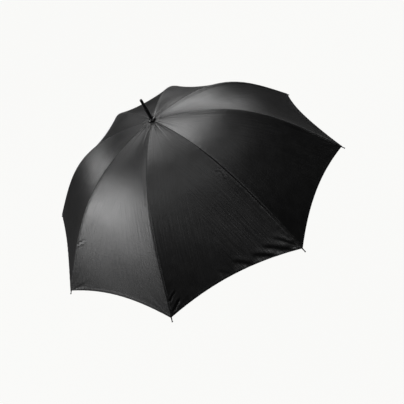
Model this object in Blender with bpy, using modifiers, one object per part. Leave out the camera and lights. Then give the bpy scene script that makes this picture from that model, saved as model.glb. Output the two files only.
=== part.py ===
"""Windproof stick umbrella, open, shaft upright.

The shaft runs along Z.  The origin is the middle of the grip, where a hand
holds it.  Rib 1 points along +X and the others follow counter-clockwise, 45
degrees apart.  Panel n lies between rib n and rib n + 1.  Everything is in
metres.
"""

import math

import bmesh
import bpy
from mathutils import Matrix, Vector

# ---------------------------------------------------------------- dimensions
RIBS = 8
RIM_Z = 0.502                 # height of the plane through the eight rib ends
CANOPY_R = 0.635              # radius of the canopy's corners
CROWN_H = 0.544 * CANOPY_R    # crown of the canopy above the rim plane
CLOTH_T = 0.0005              # canopy cloth
SEAM_GAP = 0.0005             # each panel stops this far from the rib's plane
PANEL_SAG = 0.0181            # inward sag between ribs, share of CANOPY_R
HEM_SCALLOP = 0.034           # how far the hem is cut back between two ribs

# the rib's side view is one cubic curve, as shares of CANOPY_R
CURVE_START_R = 0.015
CURVE_A, CURVE_A_SLOPE = 0.5184, -0.0336
CURVE_B, CURVE_B_SLOPE = 0.4831, 0.8384

SHAFT_R, SHAFT_BORE = 0.0070, 0.0058
SHAFT_BOTTOM = -0.0660
FERRULE_LEN = 0.15 * CANOPY_R
CAP_R = 0.0155

RIB_R, RIB_TIP_R = 0.0019, 0.0013
RIB_DEPTH = 0.0038            # rib centre below the outside of the cloth
NOTCH_R, NOTCH_PIVOT_R = 0.0175, 0.0145
NOTCH_PIVOT_DROP = 0.0085     # pivot below the crown
NOTCH_WIRE_R = 0.0007
SLOT_W = 0.0044

BRACKET_AT = 0.45             # place of the elbow along the rib's curve
PIN_DROP = 0.0075             # stretcher pin below the rib's centre
PIN_R = 0.0012
FLEX_OUT = 0.0112             # the rib bends here, past the elbow
BRACKET_IN, BRACKET_OUT = 0.014, 0.0078

STRETCHER_LEN = 0.370
STRETCHER_R = 0.0018
RUNNER_PIVOT_R = 0.0135
RUNNER_R, RUNNER_SLEEVE_R, RUNNER_BORE = 0.0170, 0.0096, 0.0074
RUNNER_UP, RUNNER_DOWN = 0.0060, 0.0500
BUTTON_ANGLE = math.radians(22.5)

GRIP_LOW, GRIP_HIGH = -0.0700, 0.0700
END_LOW = -0.0830
COLLAR_HIGH = 0.0820
GAP = 0.0003

CROWN_Z = RIM_Z + CROWN_H
HALF = math.pi / RIBS

# ------------------------------------------------------------------- scene
for old in list(bpy.data.objects):
    bpy.data.objects.remove(old, do_unlink=True)

parts = bpy.data.collections.new("windproof_umbrella")
cutters = bpy.data.collections.new("cutters")
bpy.context.scene.collection.children.link(parts)
bpy.context.scene.collection.children.link(cutters)


def material(name, colour, roughness, metallic=0.0):
    m = bpy.data.materials.new(name)
    m.use_nodes = True
    shader = m.node_tree.nodes["Principled BSDF"]
    shader.inputs["Base Color"].default_value = (*colour, 1.0)
    shader.inputs["Roughness"].default_value = roughness
    shader.inputs["Metallic"].default_value = metallic
    return m


LOOKS = {
    "cloth": ((0.018, 0.018, 0.019), 0.45, 0.0),
    "fibreglass": ((0.012, 0.012, 0.013), 0.35, 0.0),
    "black_plastic": ((0.010, 0.010, 0.011), 0.25, 0.0),
    "black_steel": ((0.02, 0.02, 0.021), 0.30, 0.9),
    "steel_wire": ((0.55, 0.55, 0.56), 0.30, 1.0),
    "foam_grip": ((0.014, 0.014, 0.015), 0.80, 0.0),
    "satin_metal": ((0.10, 0.10, 0.105), 0.32, 0.9),
}


def finish(obj, name, look, collection=parts):
    """Name the object, file it and give it a finish of its own."""
    obj.name = name
    obj.data.name = name
    for c in list(obj.users_collection):
        c.objects.unlink(obj)
    collection.objects.link(obj)
    if look and not obj.data.materials:
        obj.data.materials.append(material(name + "_finish", *LOOKS[look]))
    return obj


def as_cutter(obj, name):
    obj.name = name
    for c in list(obj.users_collection):
        c.objects.unlink(obj)
    cutters.objects.link(obj)
    obj.hide_render = True
    obj.display_type = "WIRE"
    return obj


def new_object(name, mesh):
    obj = bpy.data.objects.new(name, mesh)
    bpy.context.scene.collection.objects.link(obj)
    return obj


def smooth(mesh, degrees=35.0):
    mesh.shade_smooth()
    mesh.set_sharp_from_angle(angle=math.radians(degrees))


def baked(obj):
    """The object's evaluated mesh, welded, as a new mesh; the object goes."""
    bpy.context.view_layer.update()
    graph = bpy.context.evaluated_depsgraph_get()
    mesh = bpy.data.meshes.new_from_object(obj.evaluated_get(graph))
    bm = bmesh.new()
    bm.from_mesh(mesh)
    bmesh.ops.remove_doubles(bm, verts=bm.verts, dist=1e-6)
    bmesh.ops.recalc_face_normals(bm, faces=bm.faces)
    bm.to_mesh(mesh)
    bm.free()
    mesh.transform(obj.matrix_world)
    bpy.data.objects.remove(obj, do_unlink=True)
    return mesh


def turned(name, profile, look, steps=32):
    """A closed profile of (radius, height) points, listed so that it runs
    down the outside, turned once round Z."""
    mesh = bpy.data.meshes.new(name)
    bm = bmesh.new()
    verts = [bm.verts.new((r, 0.0, z)) for r, z in profile]
    for a, b in zip(verts, verts[1:] + verts[:1]):
        bm.edges.new((a, b))
    bm.to_mesh(mesh)
    bm.free()
    obj = new_object(name, mesh)
    screw = obj.modifiers.new("turn", "SCREW")
    screw.axis = "Z"
    screw.angle = math.tau
    screw.steps = steps
    screw.render_steps = steps
    screw.use_merge_vertices = True
    screw.merge_threshold = 1e-5
    screw.use_smooth_shade = True
    return finish(obj, name, look)


def turned_solid(name, profile, look, steps=32):
    """As turned, for a profile whose two ends lie on the axis."""
    mesh = bpy.data.meshes.new(name)
    bm = bmesh.new()
    verts = [bm.verts.new((r, 0.0, z)) for r, z in profile]
    for a, b in zip(verts, verts[1:]):
        bm.edges.new((a, b))
    bm.to_mesh(mesh)
    bm.free()
    obj = new_object(name, mesh)
    screw = obj.modifiers.new("turn", "SCREW")
    screw.axis = "Z"
    screw.angle = math.tau
    screw.steps = steps
    screw.render_steps = steps
    screw.use_merge_vertices = True
    screw.merge_threshold = 1e-5
    screw.use_smooth_shade = True
    return finish(obj, name, look)


def box(size, centre, rotation=0.0, about=None):
    """A cuboid object with its size in its mesh, turned about Z."""
    bpy.ops.mesh.primitive_cube_add(size=1.0)
    obj = bpy.context.object
    turn = Matrix.Rotation(rotation, 4, "Z")
    place = Matrix.Translation(Vector(centre)) @ Matrix.Diagonal((*size, 1.0))
    obj.data.transform(turn @ place)
    return obj


def rod(points, radius, sides=2, radii=None):
    """A filled, round-section rod through points, as a welded mesh object."""
    curve = bpy.data.curves.new("rod", "CURVE")
    curve.dimensions = "3D"
    curve.bevel_depth = radius
    curve.bevel_resolution = sides
    curve.use_fill_caps = True
    spline = curve.splines.new("POLY")
    spline.points.add(len(points) - 1)
    for i, p in enumerate(points):
        spline.points[i].co = (*p, 1.0)
        spline.points[i].radius = radii[i] if radii else 1.0
    return new_object("rod", baked(new_object("rod", curve)))


def cylinder(radius, length, centre, axis="Y", sides=12):
    bpy.ops.mesh.primitive_cylinder_add(vertices=sides, radius=radius, depth=length)
    obj = bpy.context.object
    if axis == "Y":
        obj.data.transform(Matrix.Rotation(math.pi / 2, 4, "X"))
    elif axis == "X":
        obj.data.transform(Matrix.Rotation(math.pi / 2, 4, "Y"))
    obj.data.transform(Matrix.Translation(Vector(centre)))
    return obj


def cut(obj, tool, operation="DIFFERENCE"):
    b = obj.modifiers.new(operation.lower(), "BOOLEAN")
    b.operation = operation
    b.solver = "EXACT"
    b.object = tool
    return obj


def combined(obj, steps):
    """Apply (operation, tool) steps in turn and drop the tools."""
    for operation, tool in steps:
        cut(obj, tool, operation)
    mesh = baked(obj)
    for _, tool in steps:
        bpy.data.objects.remove(tool, do_unlink=True)
    return new_object("combined", mesh)


# ------------------------------------------------------------- the rib curve
P0 = Vector((CURVE_START_R, CROWN_H / CANOPY_R)) * CANOPY_R
P1 = P0 + Vector((math.cos(CURVE_A_SLOPE), math.sin(CURVE_A_SLOPE))) * CURVE_A * CANOPY_R
P3 = Vector((1.0, 0.0)) * CANOPY_R
P2 = P3 + Vector((-math.cos(CURVE_B_SLOPE), math.sin(CURVE_B_SLOPE))) * CURVE_B * CANOPY_R


def seam(t):
    """Outside of the cloth along a rib: (radius, height above the rim)."""
    s = 1.0 - t
    return s ** 3 * P0 + 3 * s * s * t * P1 + 3 * s * t * t * P2 + t ** 3 * P3


def seam_dir(t):
    s = 1.0 - t
    return (3 * s * s * (P1 - P0) + 6 * s * t * (P2 - P1) + 3 * t * t * (P3 - P2)).normalized()


def ease(x):
    x = max(0.0, min(1.0, x))
    return x * x * (3 - 2 * x)


NOTCH_PIVOT = Vector((NOTCH_PIVOT_R, CROWN_H - NOTCH_PIVOT_DROP))


def rib_line(t):
    """Centre line of a rib under the cloth."""
    p, d = seam(t), seam_dir(t)
    crown = 1.0 - ease((p.x - NOTCH_PIVOT_R) / 0.065)
    depth = RIB_DEPTH + (NOTCH_PIVOT_DROP - 0.0003 - RIB_DEPTH) * crown
    depth -= 0.0004 * ease((t - 0.5) / 0.5)
    return p + Vector((d.y, -d.x)) * depth


def seam_t(radius):
    """The curve's parameter at a radius."""
    low, high = 0.0, 1.0
    for _ in range(40):
        mid = (low + high) / 2
        low, high = (mid, high) if seam(mid).x < radius else (low, mid)
    return low


ELBOW = rib_line(BRACKET_AT)
ELBOW_DIR = seam_dir(BRACKET_AT)
ELBOW_OUT = Vector((-ELBOW_DIR.y, ELBOW_DIR.x))
PIN = ELBOW - ELBOW_OUT * PIN_DROP
FLEX = ELBOW + ELBOW_DIR * FLEX_OUT
RUNNER_PIVOT = Vector((
    RUNNER_PIVOT_R,
    PIN.y - math.sqrt(STRETCHER_LEN ** 2 - (PIN.x - RUNNER_PIVOT_R) ** 2),
))


def at_rib(n):
    """Turns the plane of rib 1 into the plane of rib n."""
    return Matrix.Rotation((n - 1) * math.tau / RIBS, 4, "Z")


def in_plane(p):
    """(radius, height above the rim) to a point in the plane of rib 1."""
    return Vector((p.x, 0.0, p.y + RIM_Z))


def local_frame(origin, direction):
    """X along direction, Z outward, Y round the shaft, in rib 1's plane."""
    x = Vector((direction.x, 0.0, direction.y))
    z = Vector((-direction.y, 0.0, direction.x))
    y = z.cross(x)
    m = Matrix((x, y, z)).transposed().to_4x4()
    m.translation = in_plane(origin)
    return m


def eight(name, template, look):
    """One object for each rib, sharing the template's mesh."""
    smooth(template.data)
    mesh = template.data
    mesh.name = name
    mesh.materials.clear()
    mesh.materials.append(material(name + "_finish", *LOOKS[look]))
    bpy.data.objects.remove(template, do_unlink=True)
    made = []
    for n in range(1, RIBS + 1):
        obj = bpy.data.objects.new(f"{name}_{n}", mesh)
        obj.matrix_world = at_rib(n)
        parts.objects.link(obj)
        made.append(obj)
    return made


# ------------------------------------------------------------ shaft and crown
turned("shaft", [
    (SHAFT_BORE, CROWN_Z + 0.0004), (SHAFT_R, CROWN_Z + 0.0004),
    (SHAFT_R, SHAFT_BOTTOM), (SHAFT_BORE, SHAFT_BOTTOM),
], "fibreglass", 24)

ferrule_low = CROWN_Z + 0.0004 + GAP
tip = CROWN_Z + FERRULE_LEN
profile = [(0.0, tip)]
for i in range(1, 6):
    a = i * math.pi / 10
    profile.append((0.0052 * math.sin(a), tip - 0.0052 * (1 - math.cos(a))))
profile += [
    (0.0054, CROWN_Z + 0.0560), (0.0064, CROWN_Z + 0.0530), (0.0070, CROWN_Z + 0.0500),
    (0.0070, ferrule_low), (0.0054, ferrule_low), (0.0054, CROWN_Z - 0.0200), (0.0, CROWN_Z - 0.0200),
]
turned_solid("ferrule", profile, "black_plastic", 16)

cap_low = CROWN_Z + 0.0006
turned("hub_cap", [
    (0.0074, cap_low), (0.0074, cap_low + 0.0080), (0.0092, cap_low + 0.0080),
    (0.0112, cap_low + 0.0066), (0.0134, cap_low + 0.0050), (0.0149, cap_low + 0.0030),
    (CAP_R, cap_low + 0.0012), (CAP_R - 0.0003, cap_low),
], "black_plastic", 24)

# the notch: a collar with a groove for the wire and a slot for each rib
pivot_z = RIM_Z + NOTCH_PIVOT.y
notch_top = CROWN_Z - 0.0019
notch = turned("top_notch", [
    (0.0073, pivot_z - 0.0065), (0.0073, notch_top), (0.0131, notch_top),
    (0.0131, pivot_z - 0.0011), (0.0159, pivot_z - 0.0011), (0.0159, notch_top),
    (NOTCH_R, notch_top), (NOTCH_R, pivot_z - 0.0065),
], "black_plastic", 24)
slots = new_object("slots", bpy.data.meshes.new("slots"))
bm = bmesh.new()
for n in range(1, RIBS + 1):
    made = bmesh.ops.create_cube(bm, size=1.0, matrix=at_rib(n)
                                 @ Matrix.Translation((0.0158, 0.0, pivot_z))
                                 @ Matrix.Diagonal((0.0120, SLOT_W, 0.040, 1.0)))
bm.to_mesh(slots.data)
bm.free()
as_cutter(slots, "notch_slots")
cut(notch, slots)

bpy.ops.mesh.primitive_torus_add(major_segments=24, minor_segments=6,
                                 major_radius=NOTCH_PIVOT_R, minor_radius=NOTCH_WIRE_R)
wire = bpy.context.object
wire.data.transform(Matrix.Translation((0.0, 0.0, pivot_z)))
wire.data.shade_smooth()
finish(wire, "notch_wire", "steel_wire")

# ------------------------------------------------------------------- ribs
t_start = seam_t(NOTCH_PIVOT_R + 0.0050)
steps = 8
line = []
for i in range(steps + 1):
    t = t_start + (BRACKET_AT - t_start) * i / steps
    line.append(in_plane(rib_line(t)))
line.insert(-1, in_plane(rib_line(BRACKET_AT - 0.027)))   # straight where the bracket holds it
root = in_plane(NOTCH_PIVOT)
end = in_plane(ELBOW + ELBOW_DIR * (BRACKET_OUT - 0.0002))
rib = rod(line + [end], RIB_R, 2)
eye = cylinder(0.0022, 0.0034, root, "Y", 10)
neck = box((0.0062, 0.0034, 0.0030), (0, 0, 0))
lean = (line[0] - root).normalized()
neck.data.transform(Matrix.Translation(root + lean * 0.0032)
                    @ Matrix.Rotation(-math.atan2(lean.z, lean.x), 4, "Y"))
hole = cylinder(0.0012, 0.0080, root, "Y", 8)
rib = combined(rib, [("UNION", neck), ("UNION", eye), ("DIFFERENCE", hole)])
eight("rib_inner", rib, "fibreglass")

TIP_BACK = 0.012              # the moulded rib end starts this far inside the corner
arc = 0.0
t_tip = 1.0
while arc < TIP_BACK:
    step = 0.001
    arc += (seam(t_tip) - seam(t_tip - step)).length
    t_tip -= step
steps = 7
points, radii = [in_plane(FLEX)], [1.0]
t_flex = seam_t(FLEX.x) + 0.006
for i in range(1, steps + 1):
    t = t_flex + (t_tip - t_flex) * i / steps
    points.append(in_plane(rib_line(t)))
    radii.append(1.0 + (RIB_TIP_R / RIB_R - 1.0) * i / steps)
eight("rib_outer", rod(points, RIB_R, 2, radii), "fibreglass")

# moulded rib ends, each a turned pin with a rounded nose
out = seam_dir(1.0)
tip_root = rib_line(t_tip) + seam_dir(t_tip) * GAP
profile = [(0.0, 0.0), (0.0021, 0.0), (0.0023, 0.0012), (0.0023, 0.0125), (0.0021, 0.0160),
           (0.0020, 0.0235), (0.0025, 0.0250), (0.0025, 0.0262), (0.0016, 0.0275), (0.0, 0.0278)]
tip_piece = turned_solid("rib_tip_blank", [(r, z) for r, z in reversed(profile)], None, 8)
mesh = baked(tip_piece)
mesh.transform(local_frame(tip_root, seam_dir((t_tip + 1) / 2)) @ Matrix.Rotation(math.pi / 2, 4, "Y"))
eight("rib_tip", new_object("rib_tip_blank", mesh), "black_plastic")

# elbow brackets: a saddle under the rib with a clevis and a pin for the stretcher
saddle = box((BRACKET_IN + BRACKET_OUT, 0.0088, 0.0100),
             ((BRACKET_OUT - BRACKET_IN) / 2, 0.0, 0.0002 - 0.0050))
channel = box((0.060, 0.0045, 0.0080), (0.0, 0.0, -0.00225 + 0.0040))
clevis = box((0.060, 0.0044, 0.0200), (0.0, 0.0, -0.0036 - 0.0100))
pin = cylinder(PIN_R, 0.0080, (0.0, 0.0, -PIN_DROP), "Y", 8)
saddle = combined(saddle, [("DIFFERENCE", channel), ("DIFFERENCE", clevis), ("UNION", pin)])
saddle.data.transform(local_frame(ELBOW, ELBOW_DIR))
eight("elbow_bracket", saddle, "black_plastic")

# stretchers: a rod with a drilled eye at each end
pin_at, foot_at = in_plane(PIN), in_plane(RUNNER_PIVOT)
along = (pin_at - foot_at).normalized()
tilt = -math.atan2(along.z, along.x)
strut = rod([foot_at + along * 0.0045, pin_at - along * 0.0048], STRETCHER_R, 2)
tools = []
for centre, sign in ((foot_at, 1.0), (pin_at, -1.0)):
    tab = box((0.0064, 0.0032, 0.0030), (0, 0, 0))
    tab.data.transform(Matrix.Translation(centre + along * sign * 0.0036) @ Matrix.Rotation(tilt, 4, "Y"))
    tools.append(("UNION", tab))
    tools.append(("UNION", cylinder(0.0023, 0.0032, centre, "Y", 10)))
for centre in (foot_at, pin_at):
    tools.append(("DIFFERENCE", cylinder(0.0016, 0.0080, centre, "Y", 8)))
eight("stretcher", combined(strut, tools), "fibreglass")

# ------------------------------------------------------------------- runner
rz = RIM_Z + RUNNER_PIVOT.y
runner = turned("runner", [
    (RUNNER_BORE, rz - RUNNER_DOWN), (RUNNER_BORE, rz + RUNNER_UP), (RUNNER_R - 0.0015, rz + RUNNER_UP),
    (RUNNER_R, rz + RUNNER_UP - 0.0015), (RUNNER_R, rz - 0.0065), (RUNNER_R - 0.0015, rz - 0.0080),
    (RUNNER_SLEEVE_R + 0.0006, rz - 0.0095), (RUNNER_SLEEVE_R, rz - 0.0110),
    (RUNNER_SLEEVE_R, rz - RUNNER_DOWN + 0.0060), (RUNNER_SLEEVE_R + 0.0012, rz - RUNNER_DOWN + 0.0045),
    (RUNNER_SLEEVE_R + 0.0012, rz - RUNNER_DOWN + 0.0010), (RUNNER_SLEEVE_R + 0.0004, rz - RUNNER_DOWN),
], None, 24)
slots = new_object("slots", bpy.data.meshes.new("slots"))
bm = bmesh.new()
for n in range(1, RIBS + 1):
    bmesh.ops.create_cube(bm, size=1.0, matrix=at_rib(n)
                          @ Matrix.Translation((0.0103 + 0.0060, 0.0, rz))
                          @ Matrix.Diagonal((0.0120, 0.0042, 0.040, 1.0)))
bm.to_mesh(slots.data)
bm.free()
boss = box((0.0055, 0.0088, 0.0240), (0.00825 + 0.00275, 0.0, rz - 0.0270), BUTTON_ANGLE)
window = box((0.0140, 0.0066, 0.0150), (0.0072 + 0.0070, 0.0, rz - 0.0270), BUTTON_ANGLE)
runner = combined(runner, [("DIFFERENCE", slots), ("UNION", boss), ("DIFFERENCE", window)])
smooth(runner.data)
finish(runner, "runner", "black_plastic")

button = box((0.0056, 0.0058, 0.0142), (0.0095 + 0.0028, 0.0, rz - 0.0270), BUTTON_ANGLE)
bevel = button.modifiers.new("edge", "BEVEL")
bevel.width = 0.0006
bevel.segments = 2
button = new_object("button", baked(button))
smooth(button.data)
finish(button, "runner_button", "satin_metal")

stop_low = rz + RUNNER_UP + GAP
turned("upper_stop_collar", [
    (SHAFT_R + GAP, stop_low), (SHAFT_R + GAP, stop_low + 0.0080), (0.0088, stop_low + 0.0080),
    (0.0098, stop_low + 0.0068), (0.0098, stop_low + 0.0010), (0.0090, stop_low),
], "black_plastic", 24)

# ------------------------------------------------------------------- handle
turned("handle_collar", [
    (SHAFT_R + GAP, GRIP_HIGH + GAP), (SHAFT_R + GAP, COLLAR_HIGH), (0.0094, COLLAR_HIGH),
    (0.0104, COLLAR_HIGH - 0.0008), (0.0122, COLLAR_HIGH - 0.0060), (0.0128, GRIP_HIGH + 0.0030),
    (0.0128, GRIP_HIGH + GAP),
], "satin_metal", 20)

profile = [(SHAFT_R + GAP, GRIP_LOW), (SHAFT_R + GAP, GRIP_HIGH)]
count = 10
for i in range(count + 1):
    f = i / count
    z = GRIP_HIGH - (GRIP_HIGH - GRIP_LOW) * f
    swell = 0.0012 * math.cos(math.tau * 1.5 * f) + 0.0010 * f
    r = 0.0143 + swell
    if i == 0:
        profile.append((r - 0.0012, z))
        z -= 0.0015
    if i == count:
        z += 0.0015
        profile.append((r, z))
        profile.append((r - 0.0012, GRIP_LOW))
    else:
        profile.append((r, z))
turned("grip", profile, "foam_grip", 20)

turned_solid("end_cap", [
    (0.0, -0.0520), (0.0054, -0.0520), (0.0054, SHAFT_BOTTOM - GAP), (0.0054, GRIP_LOW - GAP),
    (0.0148, GRIP_LOW - GAP), (0.0156, GRIP_LOW - 0.0015), (0.0156, END_LOW + 0.0030),
    (0.0147, END_LOW + 0.0009), (0.0130, END_LOW), (0.0, END_LOW),
], "black_plastic", 20)

# ------------------------------------------------------------------- canopy


def panel_point(t, v):
    """Outside of the cloth between two ribs; v runs from -1 to 1 across."""
    t *= 1.0 - HEM_SCALLOP * (1.0 - v * v)
    p, d = seam(t), seam_dir(t)
    edge = p.x * math.sin(HALF)
    y = v * edge
    y = max(-edge + SEAM_GAP / math.cos(HALF), min(edge - SEAM_GAP / math.cos(HALF), y))
    x = p.x * math.cos(HALF)
    mid = Vector((d.x * math.cos(HALF), d.y)).normalized()
    sag = PANEL_SAG * CANOPY_R * math.sin(math.pi * t) * (1.0 - v * v)
    return Vector((x + mid.y * sag, y, p.y - mid.x * sag + RIM_Z))


def canopy_panel(n):
    rows, columns = 11, 6
    mesh = bpy.data.meshes.new("panel")
    bm = bmesh.new()
    turn = Matrix.Rotation((n - 0.5) * math.tau / RIBS, 4, "Z")
    grid = [[bm.verts.new(turn @ panel_point(i / rows, -1.0 + 2.0 * j / columns))
             for j in range(columns + 1)] for i in range(rows + 1)]
    for i in range(rows):
        for j in range(columns):
            bm.faces.new((grid[i][j], grid[i + 1][j], grid[i + 1][j + 1], grid[i][j + 1]))
    bm.normal_update()
    bm.to_mesh(mesh)
    bm.free()
    mesh.shade_smooth()
    obj = new_object("panel", mesh)
    shell = obj.modifiers.new("cloth", "SOLIDIFY")
    shell.thickness = CLOTH_T
    shell.offset = -1.0
    return finish(obj, f"canopy_panel_{n}", "cloth")


for n in range(1, RIBS + 1):
    canopy_panel(n)

# tie strap, folded back under rib 5 from the hem
STRAP_W, STRAP_T, STRAP_N = 0.022, 0.0012, 5
mesh = bpy.data.meshes.new("strap")
bm = bmesh.new()
rows = []
for i in range(9):
    t = 0.965 - 0.245 * i / 8
    p = rib_line(t)
    d = seam_dir(t)
    c = p + Vector((d.y, -d.x)) * 0.0034
    rows.append([bm.verts.new(at_rib(STRAP_N) @ (in_plane(c) + Vector((0.0, s * STRAP_W / 2, 0.0))))
                 for s in (-1.0, 1.0)])
for a, b in zip(rows, rows[1:]):
    bm.faces.new((a[0], a[1], b[1], b[0]))
bm.normal_update()
bm.to_mesh(mesh)
bm.free()
strap = new_object("strap", mesh)
shell = strap.modifiers.new("webbing", "SOLIDIFY")
shell.thickness = STRAP_T
shell.offset = 0.0
finish(strap, "tie_strap", "cloth")
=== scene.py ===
"""The look of a windproof umbrella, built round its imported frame.

The shaft runs along Z, rib 1 points along +X, and panel n lies between rib n
and rib n + 1, counter-clockwise seen from above.  Everything is in metres.
"""

import math

import bmesh
import bpy
import numpy as np
from mathutils import Matrix, Vector


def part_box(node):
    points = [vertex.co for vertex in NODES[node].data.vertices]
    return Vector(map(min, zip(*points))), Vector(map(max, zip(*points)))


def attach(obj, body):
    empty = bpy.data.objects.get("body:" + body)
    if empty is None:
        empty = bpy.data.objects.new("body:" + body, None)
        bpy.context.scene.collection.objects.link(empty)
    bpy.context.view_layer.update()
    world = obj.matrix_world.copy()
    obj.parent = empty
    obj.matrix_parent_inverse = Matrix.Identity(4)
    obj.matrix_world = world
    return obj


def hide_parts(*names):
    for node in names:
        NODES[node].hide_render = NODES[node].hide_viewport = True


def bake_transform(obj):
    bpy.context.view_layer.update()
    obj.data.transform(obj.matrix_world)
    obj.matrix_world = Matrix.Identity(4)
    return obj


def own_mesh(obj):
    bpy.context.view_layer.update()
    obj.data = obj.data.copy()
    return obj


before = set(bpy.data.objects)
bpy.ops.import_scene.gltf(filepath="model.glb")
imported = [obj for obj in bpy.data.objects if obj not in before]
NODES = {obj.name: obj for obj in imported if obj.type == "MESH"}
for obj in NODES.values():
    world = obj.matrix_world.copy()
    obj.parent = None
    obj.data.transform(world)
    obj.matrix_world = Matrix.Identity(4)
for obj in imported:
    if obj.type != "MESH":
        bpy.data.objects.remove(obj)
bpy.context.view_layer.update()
scene = bpy.context.scene

# ------------------------------------------------- measures shared with the CAD
RIBS = 8
RIM_Z = 0.502
CANOPY_R = 0.635
CROWN_H = 0.544 * CANOPY_R
CROWN_Z = RIM_Z + CROWN_H
PANEL_SAG = 0.0181
HEM_SCALLOP = 0.034
CURVE_START_R = 0.015
CURVE_A, CURVE_A_SLOPE = 0.5184, -0.0336
CURVE_B, CURVE_B_SLOPE = 0.4831, 0.8384
FERRULE_LEN = 0.15 * CANOPY_R
CAP_R = 0.0155
RIB_R, RIB_TIP_R, RIB_DEPTH = 0.0019, 0.0013, 0.0038
NOTCH_PIVOT_R, NOTCH_PIVOT_DROP = 0.0145, 0.0085
BRACKET_AT, PIN_DROP, FLEX_OUT = 0.45, 0.0075, 0.0112
STRETCHER_LEN, RUNNER_PIVOT_R = 0.370, 0.0135
TIP_BACK = 0.012
STRAP_N = 5
HALF = math.pi / RIBS
FOLD_ARM = math.radians(76.125)       # how far the inner rib turns, closed
FOLD_END = math.radians(76.125 - 35.588)
CLOTH_T = 0.0005

P0 = np.array([CURVE_START_R * CANOPY_R, CROWN_H])
P1 = P0 + np.array([math.cos(CURVE_A_SLOPE), math.sin(CURVE_A_SLOPE)]) * CURVE_A * CANOPY_R
P3 = np.array([CANOPY_R, 0.0])
P2 = P3 + np.array([-math.cos(CURVE_B_SLOPE), math.sin(CURVE_B_SLOPE)]) * CURVE_B * CANOPY_R


def seam(t):
    """Outside of the cloth along a rib: (radius, height above the rim)."""
    t = np.asarray(t, float)[..., None]
    s = 1.0 - t
    return s ** 3 * P0 + 3 * s * s * t * P1 + 3 * s * t * t * P2 + t ** 3 * P3


def seam_dir(t):
    t = np.asarray(t, float)[..., None]
    s = 1.0 - t
    d = s * s * (P1 - P0) + 2 * s * t * (P2 - P1) + t * t * (P3 - P2)
    return d / np.linalg.norm(d, axis=-1, keepdims=True)


def ease(x):
    x = np.clip(x, 0.0, 1.0)
    return x * x * (3 - 2 * x)


NOTCH_PIVOT = np.array([NOTCH_PIVOT_R, CROWN_H - NOTCH_PIVOT_DROP])


def rib_line(t):
    """Centre line of a rib under the cloth."""
    p, d = seam(t), seam_dir(t)
    crown = 1.0 - ease((p[..., 0] - NOTCH_PIVOT_R) / 0.065)
    depth = RIB_DEPTH + (NOTCH_PIVOT_DROP - 0.0003 - RIB_DEPTH) * crown
    depth = depth - 0.0004 * ease((np.asarray(t, float) - 0.5) / 0.5)
    return p + np.stack([d[..., 1], -d[..., 0]], -1) * depth[..., None]


ARC_T = np.linspace(0.0, 1.0, 2001)
_p = seam(ARC_T)
ARC_S = np.concatenate([[0.0], np.cumsum(np.linalg.norm(np.diff(_p, axis=0), axis=1))])
SEAM_LEN = float(ARC_S[-1])


def arc(t):
    return np.interp(t, ARC_T, ARC_S)


def arc_t(s):
    return np.interp(s, ARC_S, ARC_T)


def seam_t(radius):
    return float(np.interp(radius, _p[:, 0], ARC_T))


ELBOW = rib_line(BRACKET_AT)
ELBOW_DIR = seam_dir(BRACKET_AT)
ELBOW_OUT = np.array([-ELBOW_DIR[1], ELBOW_DIR[0]])
PIN = ELBOW - ELBOW_OUT * PIN_DROP
RUNNER_PIVOT = np.array([RUNNER_PIVOT_R,
                         PIN[1] - math.sqrt(STRETCHER_LEN ** 2 - (PIN[0] - RUNNER_PIVOT_R) ** 2)])
RUNNER_Z = RIM_Z + RUNNER_PIVOT[1]


def turn_z(a):
    c, s = math.cos(a), math.sin(a)
    return np.array([[c, -s, 0.0], [s, c, 0.0], [0.0, 0.0, 1.0]])


def rib_angle(n):
    return (n - 1) * math.tau / RIBS


def to_world(rz, n):
    """(radius, height above the rim) in rib n's plane to the row frame."""
    a = rib_angle(n)
    return (rz[0] * math.cos(a), rz[0] * math.sin(a), rz[1] + RIM_Z)


# ----------------------------------------------------------------- the camera
# from the fit of the canopy's eight corners, seams and hem
FOCAL_PX, FRAME_PX = 472.2, 404.0
CAM_ROT = Matrix.Rotation(Vector((2.3279, -0.0878, -0.486)).length, 3,
                          Vector((2.3279, -0.0878, -0.486)).normalized())
CAM_T = Vector((-0.0919, -0.1216, 3.124))
CAM_PHI = 4.7239
turn = Matrix.Rotation(-CAM_PHI, 3, "Z")
cam_data = bpy.data.cameras.new("camera")
cam_data.sensor_width = 36.0
cam_data.lens = FOCAL_PX / FRAME_PX * 36.0
cam_data.clip_start = 0.05
cam_data.clip_end = 100.0
camera = bpy.data.objects.new("camera", cam_data)
place = (turn @ CAM_ROT.transposed() @ Matrix.Diagonal((1.0, -1.0, -1.0))).to_4x4()
place.translation = turn @ (CAM_ROT.transposed() @ -CAM_T) * CANOPY_R + Vector((0.0, 0.0, RIM_Z))
camera.matrix_world = place
scene.collection.objects.link(camera)
scene.camera = camera


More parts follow.
